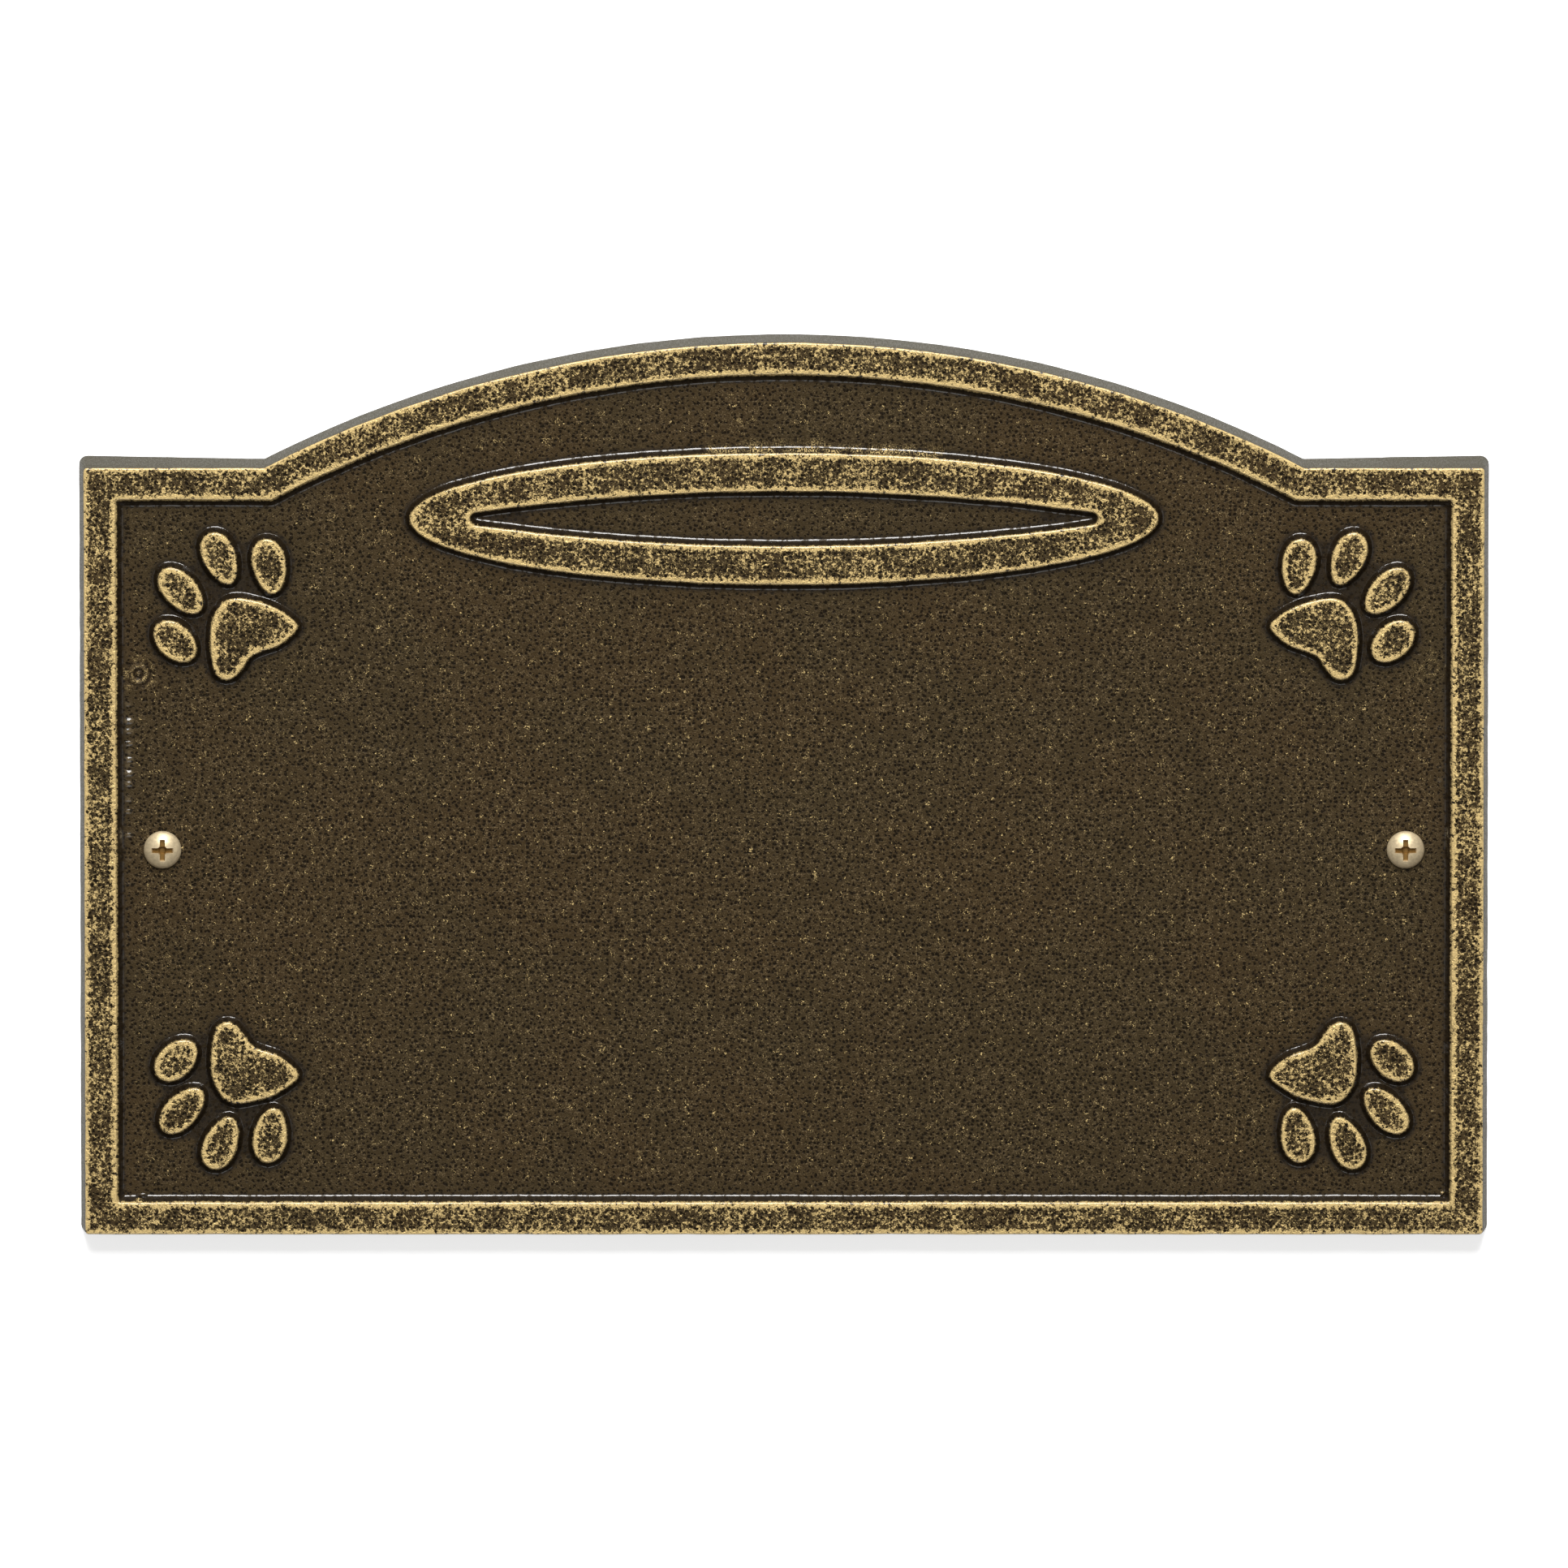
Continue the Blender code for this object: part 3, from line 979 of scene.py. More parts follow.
@dataclass(frozen=True)
class BronzedFinish:
    """Dark bronze paint over a pitted casting, with brass rubbed on its high places.

    Ramps over the reach are in millimetres from the nearest raised edge.
    """

    pit_paint: Colour = (0.0042, 0.0028, 0.0013)
    wall_paint: Colour = (0.0072, 0.0043, 0.0020)
    paint: Colour = (0.0385, 0.0266, 0.0120)
    warm_paint: Colour = (0.0418, 0.0272, 0.0118)
    crest_paint: Colour = (0.185, 0.132, 0.065)
    # The brass where it is rubbed thin, also painted shade on the flanks of its strands
    thin_and_shaded_brass: Colour = (0.125, 0.083, 0.032)
    brass: Colour = (0.67, 0.492, 0.212)
    side_paint: Colour = (0.055, 0.050, 0.034)
    side_contrast: float = 0.16

    # The casting's pits, lines and grain
    pit_spacing: float = 1.3 * MM
    pit_widths: Ramp = Ramp(0.1, 0.9, 0.23, 0.55)
    pit_core: float = 0.35
    wander: Grain = Grain(1.0 * MM, 1.0)
    wander_reach: float = 0.40 * MM
    blotches: Grain = Grain(1.15 * MM, 3.0, 0.52)
    lines: Grain = Grain(0.95 * MM, 1.0)
    line_level: float = 0.5
    line_width: Ramp = Ramp(0.0, 0.065, 1.0, 0.0)
    speckle: Grain = Grain(0.40 * MM, 0.0)
    speckle_step: Ramp = Ramp(0.28, 0.72)
    patches: Grain = Grain(6.5 * MM)
    patch_step: Ramp = Ramp(0.33, 0.67)

    # Where brass is rubbed on
    brass_level: float = -0.56
    patch_lift: float = -0.13
    edge_lift: float = 0.29
    pit_lift: float = 0.14
    line_lift: float = 0.19
    speckle_lift: float = 0.05
    blotch_lift: float = 0.8
    edge_step: Ramp = Ramp(0.3, 2.0, 1.0, 0.0)
    brass_step: Ramp = Ramp(-0.07, 0.11)
    ragged_lift: float = 0.8
    ragged_step: Ramp = Ramp(0.45, 0.85)
    spots: Grain = Grain(2.6 * MM, 2.0, 0.7)
    spot_step: Ramp = Ramp(0.61, 0.68)
    speck_step: Ramp = Ramp(0.15, 0.4)
    speck_reach: Ramp = Ramp(3.0, 8.0)
    speck_share: float = 0.9
    fleck_step: Ramp = Ramp(0.40, 0.7)
    # The brass's brightness: a painted sheen, lighter where it stands higher and speckled, duller
    # where thin
    tone_speckle: float = 0.12
    brass_sheen_and_thickness_step: Ramp = Ramp(-0.03, 0.27)

    # Gloss
    brass_metal: float = 0.3
    roughness: float = 0.36
    speckle_roughness: float = 0.12
    side_roughness: float = 0.10
    specular: float = 0.15
    specular_tint: Colour = (1.0, 0.80, 0.58)
    coat_roughness: float = 0.11
    coat_bend: float = 1.6
    dabs: Grain = Grain(1.6 * MM)
    dab_step: Ramp = Ramp(0.36, 0.50, 0.15, 1.0)
    foot_start: Ramp = Ramp(0.9, 1.4, 0.15, 1.0)
    foot_end: Ramp = Ramp(2.2, 3.2, 1.0, 0.04)
    rim_step: Ramp = Ramp(0.3, 1.1, 0.6, 0.0)
    mark_gloss: Ramp = Ramp(0.25, 0.7)
    coat_ripple: Grain = Grain(1.1 * MM, 1.0, flat=False)
    coat_depth: float = 0.08 * MM

    # Fine relief
    relief_depth: float = 0.26 * MM
    pit_depth: float = 0.30
    top_pit_depth: float = 0.12
    fine_height: float = 0.16
    swell_step: Ramp = Ramp(-0.15, 0.18)
    swell_height: float = 0.5
    calm_foot: Ramp = Ramp(1.6, 3.6, 0.22, 1.0)
    streaks: Grain = Grain(0.5 * MM, 2.0, 0.6, flat=False)
    streak_step: Ramp = Ramp(0.3, 0.7)
    streak_height: float = 0.5

    # Tones of the paint
    clouds: Grain = Grain(55.0 * MM)
    cloud_step: Ramp = Ramp(0.4, 0.62)
    smears: Grain = Grain(11.0 * MM, 1.0, 0.4)
    smear_step: Ramp = Ramp(0.56, 0.66, 1.0, 0.45)
    clumps: Grain = Grain(1.5 * MM, 1.0)
    clump_step: Ramp = Ramp(0.3, 0.7, -0.3, 0.3)
    crest_reach: Ramp = Ramp(2.0, 9.0, 0.25, 1.0)
    crest_line: float = 0.4
    crest_speckle: float = 0.9
    crest_step: Ramp = Ramp(0.60, 1.70)
    patch_dulling: float = -0.3
    # Painted highlight on the mould's raised marks, and painted shade in their sunken rings
    mark_painted_highlight: Ramp = Ramp(0.2, 1.0, 0.0, 0.3)
    mark_painted_shade: Ramp = Ramp(-0.6, -0.06, 0.8, 0.0)
    pit_fill: float = 0.03
    foot_shade: Ramp = Ramp(1.5, 3.2, 1.0, 0.0)
    foot_darkness: float = 0.85

    def material(self) -> bpy.types.Material:
        """Builds the finish."""
        board = NodeBoard("bronzed_casting")
        skin = self._skin(board)
        rub, brass_sheen_and_thickness, over = self._rub(board, skin)
        # Brass from painted shade, which is also thin rub, up to its painted sheen
        rubbed = board.blend(brass_sheen_and_thickness, self.thin_and_shaded_brass, self.brass)
        face = board.blend(rub, self._paint_colour(board, skin), rubbed)
        streaks = board.fade(board.grain(self.streaks), self.streak_step)
        shares = (1 - self.side_contrast, 1 + self.side_contrast)
        dark, light = (tuple(share * part for part in self.side_paint) for share in shares)
        board.feed("Base Color", board.blend(skin.plain, face, board.blend(streaks, dark, light)))
        board.feed("Metallic", board.product(rub, self.brass_metal))
        rougher = ((skin.grain, self.speckle_roughness), (skin.plain, self.side_roughness))
        board.feed("Roughness", board.weighted(self.roughness, *rougher))
        height = self._height(board, skin, over, streaks)
        board.feed("Normal", board.bump(height, self.relief_depth))
        board.feed("Coat Weight", self._gloss(board, skin))
        board.feed("Coat Normal", board.bump(board.grain(self.coat_ripple), self.coat_depth))
        board.settle(Coat_Roughness=self.coat_roughness, Coat_IOR=self.coat_bend)
        board.settle(Specular_IOR_Level=self.specular, Specular_Tint=(*self.specular_tint, 1.0))
        return board.material

    def _skin(self, board: NodeBoard) -> Skin:
        """The casting's surface, each socket from 0 to 1 unless its layer says otherwise.

        Args:
            board: the material's nodes.

        Returns:
            The pits, where 0 is a pit's middle, with the rest.
        """
        place = board.shifted(
            board.place, board.grain(self.wander, output="Color"), self.wander_reach
        )
        cells = board.cells(self.pit_spacing, place)
        width = board.fade(cells.outputs["Color"], self.pit_widths)
        core = board.product(width, self.pit_core)
        off_line = board.math("SUBTRACT", board.grain(self.lines), self.line_level)
        return Skin(
            pits=board.fade(cells.outputs["Distance"], Ramp(core, width)),
            blotches=board.grain(self.blotches, place),
            strokes=board.fade(board.math("ABSOLUTE", off_line), self.line_width),
            grain=board.fade(board.grain(self.speckle), self.speckle_step),
            patches=board.fade(board.grain(self.patches), self.patch_step),
            top=board.attribute(Layer.TOP),
            reach=board.attribute(Layer.REACH),
            plain=board.attribute(Layer.PLAIN),
            fleck=board.attribute(Layer.FLECK),
            mark=board.attribute(Layer.MARK),
        )

    def _rub(self, board: NodeBoard, skin: Skin) -> tuple[Socket, Socket, Socket]:
        """How much brass is rubbed on.

        Args:
            board: the material's nodes.
            skin: the casting's surface.

        Returns:
            From 0, bare paint, to 1, solid brass; how bright the brass is, a painted sheen that is
            lighter where it stands higher and duller where it is rubbed thin; and how high the
            surface stands over the level where the brass starts.
        """
        over = board.weighted(
            self.brass_level,
            (skin.patches, self.patch_lift),
            (board.fade(skin.reach, self.edge_step), self.edge_lift),
            (skin.pits, self.pit_lift),
            (skin.strokes, self.line_lift),
            (skin.grain, self.speckle_lift),
            (skin.blotches, self.blotch_lift),
        )
        ragged = board.weighted(skin.top, (over, self.ragged_lift))
        on_top = board.product(
            board.fade(over, self.brass_step), board.fade(ragged, self.ragged_step)
        )
        in_field = board.product(
            board.fade(board.product(skin.strokes, skin.grain), self.speck_step),
            board.fade(board.grain(self.spots), self.spot_step),
            board.fade(skin.reach, self.speck_reach),
        )
        on_marks = board.product(board.fade(skin.grain, self.fleck_step), skin.fleck)
        in_field = board.product(board.math("MAXIMUM", in_field, on_marks), self.speck_share)
        # Painted sheen on the brass, from how high it stands and from the speckle
        tone = board.weighted(over, (skin.grain, self.tone_speckle))
        return board.math("MAXIMUM", on_top, in_field), board.fade(tone, self.brass_sheen_and_thickness_step), over

    def _gloss(self, board: NodeBoard, skin: Skin) -> Socket:
        """The weight of the gloss at the walls' feet, at the tops' rims and on the mould's marks.

        Args:
            board: the material's nodes.
            skin: the casting's surface.

        Returns:
            The weight, which is 0 on the plain sides.
        """
        feet = board.product(
            board.fade(skin.reach, self.foot_end),
            board.fade(board.grain(self.dabs), self.dab_step),
            board.fade(skin.reach, self.foot_start),
            board.less(skin.top),
        )
        rims = board.product(board.fade(skin.reach, self.rim_step), skin.top)
        gloss = board.math("ADD", feet, rims)
        gloss = board.math("ADD", gloss, board.fade(skin.mark, self.mark_gloss))
        return board.math("SUBTRACT", gloss, skin.plain, clamp=True)

    def _height(self, board: NodeBoard, skin: Skin, over: Socket, streaks: Socket) -> Socket:
        """The height of the casting's fine relief.

        Args:
            board: the material's nodes.
            skin: the casting's surface.
            over: how high the surface stands over the level where the brass starts.
            streaks: the streaks of the side walls.

        Returns:
            The height, from 0 to about 1.
        """
        depth = board.weighted(self.pit_depth, (skin.top, self.top_pit_depth))
        swell = board.product(board.fade(over, self.swell_step), skin.top)
        height = board.weighted(
            board.product(skin.pits, depth),
            (skin.strokes, self.fine_height),
            (skin.grain, self.fine_height),
            (swell, self.swell_height),
        )
        open_ground = board.math("MAXIMUM", skin.top, board.fade(skin.reach, self.calm_foot))
        height = board.product(height, open_ground)
        change = board.math("SUBTRACT", board.product(streaks, self.streak_height), height)
        return board.math("MULTIPLY_ADD", change, skin.plain, height)

    def _paint_colour(self, board: NodeBoard, skin: Skin) -> Socket:
        """The colour of the paint where no brass is rubbed on.

        Args:
            board: the material's nodes.
            skin: the casting's surface.

        Returns:
            The colour, with painted highlight and shade on the mould's marks.
        """
        clouds = board.fade(board.grain(self.clouds), self.cloud_step)
        crests = board.weighted(
            board.product(skin.grain, self.crest_speckle), (skin.strokes, self.crest_line)
        )
        crests = board.math("ADD", crests, board.fade(board.grain(self.clumps), self.clump_step))
        crests = board.product(
            board.fade(crests, self.crest_step),
            board.fade(skin.reach, self.crest_reach),
            board.fade(board.grain(self.smears), self.smear_step),
            board.weighted(1.0, (skin.patches, self.patch_dulling)),
        )
        # Painted highlight on the mould's raised marks
        crests = board.math("ADD", crests, board.fade(skin.mark, self.mark_painted_highlight), clamp=True)
        paint = board.blend(clouds, self.paint, self.warm_paint)
        paint = board.blend(crests, paint, self.crest_paint)
        fill = board.weighted(self.pit_fill, (skin.top, -self.pit_fill))
        paint = board.blend(board.math("ADD", skin.pits, fill, clamp=True), self.pit_paint, paint)
        # Painted shade in the mould's sunken marks, in the walls' dark colour
        paint = board.blend(board.fade(skin.mark, self.mark_painted_shade), paint, self.wall_paint)
        beside = board.fade(skin.reach, self.foot_shade)
        shade = board.product(beside, board.less(skin.top), self.foot_darkness)
        return board.blend(shade, paint, self.wall_paint)


@dataclass(frozen=True)
class ScrewBrassFinish:
    """Satin brass, with painted shade and a deeper tone in the recess."""

    brass: Colour = (0.74, 0.595, 0.37)
    # The recess's colour: painted shade, with a deeper brass tone
    deep: Colour = (0.26, 0.145, 0.036)
    dulling: float = 0.82
    metal: float = 0.55
    roughness: float = 0.40
    mottled_roughness: float = 0.12
    mottle: Grain = Grain(0.9 * MM, 3.0, 0.6, flat=False)
    mottle_step: Ramp = Ramp(0.35, 0.65)
    fine: Grain = Grain(0.18 * MM, 1.0, flat=False)
    fine_depth: float = 0.006 * MM

    def material(self) -> bpy.types.Material:
        """Builds the finish."""
        board = NodeBoard("screw_brass")
        # How deep a place lies in the recess, for its painted shade
        recess = board.attribute(Layer.FLECK)
        mottle = board.grain(self.mottle)
        duller = tuple(self.dulling * part for part in self.brass)
        face = board.blend(board.fade(mottle, self.mottle_step), duller, self.brass)
        # Painted shade and a deeper tone in the recess
        board.feed("Base Color", board.blend(recess, face, self.deep))
        board.settle(Metallic=self.metal)
        rough = board.weighted(self.roughness, (mottle, self.mottled_roughness))
        board.feed("Roughness", rough)
        board.feed("Normal", board.bump(board.grain(self.fine), self.fine_depth))
        return board.material


@dataclass(frozen=True)
class FloorFinish:
    """Matt white paper that glows a little."""

    white: Colour = (0.96, 0.96, 0.96)
    glow: float = 0.60

    def material(self) -> bpy.types.Material:
        """Builds the finish."""
        board = NodeBoard("white_paper")
        board.settle(Base_Color=(*self.white, 1.0), Roughness=1.0, Specular_IOR_Level=0.0)
        board.settle(Emission_Color=(*self.white, 1.0), Emission_Strength=self.glow)
        return board.material


# The pieces


def clamped(value: float, low: float = 0.0, high: float = 1.0) -> float:
    """A value held between two others."""
    return min(max(value, low), high)


@dataclass(frozen=True)
class Lump:
    """A small round or drawn-out bump that the mould left on the casting."""

    x: float
    y: float
    length: float
    width: float
    height: float
    gilt: float = 0.0
    reach: float = 2.0
    fading: float = 4.0

    def rise(self, x: float, y: float) -> float:
        """How much it raises a place."""
        away = ((x - self.x) / self.length) ** 2 + ((y - self.y) / self.width) ** 2
        return self.height * math.exp(-self.fading * away) if away < self.reach**2 else 0.0


@dataclass(frozen=True)
class Crater:
    """A small ring-shaped mark with a nub in its middle."""

    x: float
    y: float
    height: float
    radius: float = 2.2 * MM
    reach: float = 2.0
    fading: float = 0.6
    gilt: float = 1.0

    def rise(self, x: float, y: float) -> float:
        """How much it raises a place, or sinks it where negative."""
        away = math.hypot(x - self.x, y - self.y) / self.radius
        if away > self.reach:
            return 0.0
        return self.height * math.cos(2 * math.pi * away) * math.exp(-self.fading * away)


@dataclass(frozen=True)
class Bead:
    """A drop of metal that the mould left in a corner of the border's foot.

    Its place is given from the plate's middle, and its height from the field.
    """

    place: tuple[float, float, float]
    size: tuple[float, float, float]
    lean: float = 0.0
    gilt: float = 1.0

    def build(self, level: float) -> bmesh.types.BMesh:
        """Builds the drop over the field's level."""
        made = bmesh.new()
        bmesh.ops.create_icosphere(made, subdivisions=3, radius=0.5)
        bmesh.ops.scale(made, verts=made.verts[:], vec=self.size)
        turn = Matrix.Rotation(math.radians(self.lean), 3, "Z")
        bmesh.ops.rotate(made, verts=made.verts[:], cent=(0, 0, 0), matrix=turn)
        x, y, z = self.place
        bmesh.ops.translate(made, verts=made.verts[:], vec=(x, y, z + level))
        return made


@dataclass
class Casting:
    """The plate with all that is cast on it."""

    plan: MarkerPlan
    screw_from_side: float = 21.85 * MM
    hole_radius: float = 2.8 * MM
    hole_points: int = 24
    hole_rim: float = 0.25 * MM
    ring_drop: float = 49.55 * MM
    edge_round: float = 0.6 * MM
    edge_steps: int = 4
    back_round: float = 0.5 * MM
    side_levels: int = 6
    border_levels: int = 6
    ring_levels: int = 7
    pad_levels: int = 5
    border_wall: WallProfile = WallProfile(run=2.0 * MM, drop=2.2 * MM)
    ring_wall: WallProfile = WallProfile(run=1.6 * MM, drop=2.2 * MM)
    pad_wall: WallProfile = WallProfile(run=1.6 * MM, drop=2.2 * MM, foot_radius=0.6 * MM)
    field_spacing: float = 1.55 * MM
    back_spacing: float = 7.0 * MM
    merging: float = 0.001 * MM

    # How far apart the points of a raised edge are, and how deep under a top its brass reaches
    edge_spacing: float = 0.3 * MM
    top_depth: float = 0.5 * MM
    top_fade: float = 0.4 * MM

    # The mould's unevenness
    mould_seed: int = 7
    wave_size: float = 9.0 * MM
    wave_height: float = 0.11 * MM
    ripple_size: float = 2.6 * MM
    ripple_height: float = 0.055 * MM

    # The flecks on the ring's upper wall: their run along X, their band over the ring's middle, and
    # their distance from its edge in millimetres
    flecked_run: Point = (-22.0 * MM, 44.0 * MM)
    flecked_band: Point = (12.0 * MM, 24.0 * MM)
    flecked_reach: Point = (0.5, 2.9)
    fleck_size: float = 2.0 * MM
    fleck_share: float = 0.55
    fleck_contrast: float = 2.0

    # The mould's marks: ridges beside the border, each with its place along Y and its height in
    # millimetres, and the marks that they are over the field
    ridges: tuple[Point, ...] = (
        (23.3, 0.30), (18.6, 0.75), (15.7, 0.48), (12.2, 0.45), (9.6, 0.30), (7.6, 0.62),
        (5.9, 0.34), (3.8, 0.75), (0.8, 0.50), (-3.5, 0.36), (-6.8, 0.38), (-13.4, 0.45),
        (-20.5, 0.22), (-27.2, 0.24), (-34.6, 0.20), (-41.8, 0.24),
    )
    ridge_from_foot: float = 1.6 * MM
    ridge_size: tuple[float, float] = (2.5 * MM, 1.25 * MM)
    faint_ridges: int = 8
    faint_size: tuple[float, float] = (2.2 * MM, 1.2 * MM)
    faint_drop: float = 2.0
    faint_share: float = 0.35
    craters: tuple[Crater, ...] = (
        Crater(-180.2 * MM, 31.9 * MM, 0.45 * MM),
        Crater(180.5 * MM, 33.5 * MM, 0.14 * MM),
    )
    marked_levels: Point = (-0.1 * MM, 0.8 * MM)
    full_mark: float = 0.3 * MM
    full_gilt: float = 0.2 * MM
    beads: tuple[Bead, ...] = (
        Bead((-179.7 * MM, -115.2 * MM, 0.05 * MM), (3.6 * MM, 2.0 * MM, 1.1 * MM), 8.0, gilt=0.0),
        Bead((-180.3 * MM, -116.6 * MM, 1.35 * MM), (2.6 * MM, 2.0 * MM, 1.6 * MM), -25.0),
        # The drop in the lower right corner is gilt as a painted highlight, standing for a bright
        # glint
        Bead((184.0 * MM, -114.3 * MM, 0.35 * MM), (1.3 * MM, 1.3 * MM, 1.3 * MM)),
    )

    # The mesh, and outlines found while it is built: where the field starts, the raised tops' edges
    # and where the back starts
    work: LoopMesh = field(default_factory=LoopMesh, init=False)
    feet: list[Outline] = field(default_factory=list, init=False)
    edges: list[Outline] = field(default_factory=list, init=False)
    back: list[Outline] = field(default_factory=list, init=False)

    def marks(self) -> list[Lump | Crater]:
        """The small faults that the mould left, beside the border."""
        plan = self.plan
        foot = plan.half_width - plan.border_width - self.border_wall.run
        x = foot - self.ridge_from_foot
        made = [Lump(-x, y * MM, *self.ridge_size, rise * MM) for y, rise in self.ridges]
        for y, rise in self.ridges[: self.faint_ridges]:
            rise = self.faint_share * rise
            made.append(Lump(x, (y - self.faint_drop) * MM, *self.faint_size, rise * MM))
        return [*made, *self.craters]

    def build(self, finish: BronzedFinish) -> bpy.types.Object:
        """Builds the casting and dresses it.

        Args:
            finish: its finish.

        Returns:
            The finished piece.
        """
        self._build_border()
        island = self._build_ring()
        self._build_paws()
        self._build_holes()
        self._add_beads()
        self._add_sheets(island)
        self._mark_reach()
        self._weather()
        piece = finished_object("cast_plate", self.work.mesh, finish.material())
        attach(piece, BODY)
        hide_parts("marker_plate")
        return piece

    def _build_border(self) -> None:
        """Builds the border from the field's edge outwards, the side walls and the back's edge."""
        plan, work = self.plan, self.work
        level, top, corner = plan.field_level, plan.top, plan.pocket_corner
        wall = [
            (plan.plate(plan.border_width + away, corner), level + rise)
            for away, rise in reversed(self.border_wall.steps())
        ]
        loop = work.extend_down(work.start(*wall[0]), wall[1:])
        for i in range(1, self.border_levels + 1):
            inset = plan.border_width + (self.edge_round - plan.border_width) * i / self.border_levels
            loop = work.extend(loop, plan.plate(inset, plan.face_corner), top)
        face = plan.plate(0.0, plan.face_corner)
        for i in range(1, self.edge_steps + 1):
            turn = math.pi / 2 * i / self.edge_steps
            inset = self.edge_round * (1 - math.sin(turn))
            height = top - self.edge_round * (1 - math.cos(turn))
            loop = work.extend(loop, grown(face, -inset), height)
            if i >= self.edge_steps - 1:
                work.mark(loop, Layer.PLAIN, 1.0)
        under = plan.footprint()
        start = top - self.edge_round
        for i in range(1, self.side_levels + 1):
            height = start + (self.back_round - start) * i / self.side_levels
            loop = work.extend(loop, between(face, under, (top - height) / top), height)
            work.mark(loop, Layer.PLAIN, 1.0)
        for turn in (math.pi / 4, math.pi / 2):
            inset = self.back_round * (1 - math.cos(turn))
            height = self.back_round * (1 - math.sin(turn))
            loop = work.extend(loop, grown(under, -inset), height)
            work.mark(loop, Layer.PLAIN, 1.0)
        self.back.append([(vert.co.x, vert.co.y) for vert in loop])
        self.feet.append(wall[0][0])
        self.edges += [face, plan.plate(plan.border_width, corner)]

    def _climb(self, outline: Outline, wall: WallProfile) -> tuple[LoopMesh, Loop, Outline]:
        """Starts a raised form with the wall round it.

        Args:
            outline: the edge of its flat top.
            wall: its wall's section.

        Returns:
            The form's mesh, its highest loop so far, and that loop's outline.
        """
        level = self.plan.field_level
        levels = [(grown(outline, away), level + rise) for away, rise in reversed(wall.steps())]
        form = LoopMesh()
        loop = form.extend_down(form.start(*levels[0]), levels[1:])
        self.feet.append(levels[0][0])
        self.edges.append(outline)
        return form, loop, levels[-1][0]

    def _build_ring(self) -> Outline:
        """Builds the lens-shaped ring, and returns the outline of the field inside it."""
        plan = self.plan
        ring = RingPlan((0.0, plan.apex - self.ring_drop))
        form, loop, outer = self._climb(ring.outer(), self.ring_wall)
        fall = [
            (ring.opening(away), plan.field_level + rise) for away, rise in self.ring_wall.steps()
        ]
        for i in range(1, self.ring_levels):
            loop = form.extend(loop, between(outer, fall[0][0], i / self.ring_levels), plan.top)
        form.extend_down(loop, fall)
        self.work.join(form.mesh)
        self.edges.append(ring.opening())
        return fall[-1][0]

    def _build_paws(self) -> None:
        """Builds the pads of the four paw prints."""
        for outline, heart in PawPlan(self.plan).outlines():
            pad, loop, shrunk = self._climb(outline, self.pad_wall)
            middle = [heart] * len(shrunk)
            for i in range(1, self.pad_levels):
                closer = between(shrunk, middle, i / (self.pad_levels - 0.5))
                loop = pad.extend(loop, closer, self.plan.top)
            pad.mesh.faces.new(loop)
            self.work.join(pad.mesh)

    def _build_holes(self) -> None:
        """Builds the two screw holes, from the field to the back."""
        plan, work = self.plan, self.work
        for side in Side:
            centre = (side.value * (plan.half_width - self.screw_from_side), plan.middle)
            bore = arc(centre, self.hole_radius, 0, 360, self.hole_points)[:-1]
            wide = grown(bore, self.hole_rim)
            levels = [
                (bore, plan.field_level - self.hole_rim),
                (bore, plan.field_level / 2),
                (bore, self.hole_rim),
                (wide, 0.0),
            ]
            loop = work.extend_down(work.start(wide, plan.field_level), levels)
            work.mark(loop, Layer.PLAIN, 1.0)
            self.feet.append(wide)
            self.back.append(wide)

    def _add_beads(self) -> None:
        """Adds the drops that the mould left."""
        for bead in self.beads:
            self.work.join(bead.build(self.plan.field_level), Layer.FLECK, bead.gilt)

    def _add_sheets(self, island: Outline) -> None:
        """Fills the field and the back, and joins them to the rest.

        Args:
            island: the outline of the part of the field inside the ring.
        """
        level, work = self.plan.field_level, self.work
        spots = [(mark.x, mark.y) for mark in self.marks()]
        work.join(Sheet(self.feet, level, self.field_spacing, spots).fill())
        work.join(Sheet([island], level, self.field_spacing).fill())
        work.join(Sheet(self.back, 0.0, self.back_spacing).fill(), Layer.PLAIN, 1.0)
        bmesh.ops.remove_doubles(work.mesh, verts=work.mesh.verts[:], dist=self.merging)

    def _mark_reach(self) -> None:
        """Marks the raised tops, and how far each vertex is from a raised edge."""
        tree = nearest_points(
            [point for outline in self.edges for point in respaced(outline, self.edge_spacing)]
        )
        layers, foot = self.work.layers, self.plan.top - self.top_depth
        for vert in self.work.mesh.verts:
            x, y, z = vert.co
            vert[layers[Layer.REACH]] = tree.find((x, y, 0.0))[2] / MM
            vert[layers[Layer.TOP]] = clamped((z - foot) / self.top_fade)

    def _is_flecked(self, place: Vector, reach: float) -> bool:
        """Whether a place is on the part of the ring's upper wall where brass flecks stick."""
        over = place.y - (self.plan.apex - self.ring_drop)
        limits = (
            (place.x, self.flecked_run), (over, self.flecked_band), (reach, self.flecked_reach)
        )
        beside = all(low < value < high for value, (low, high) in limits)
        return beside and place.z < self.plan.top - self.top_fade

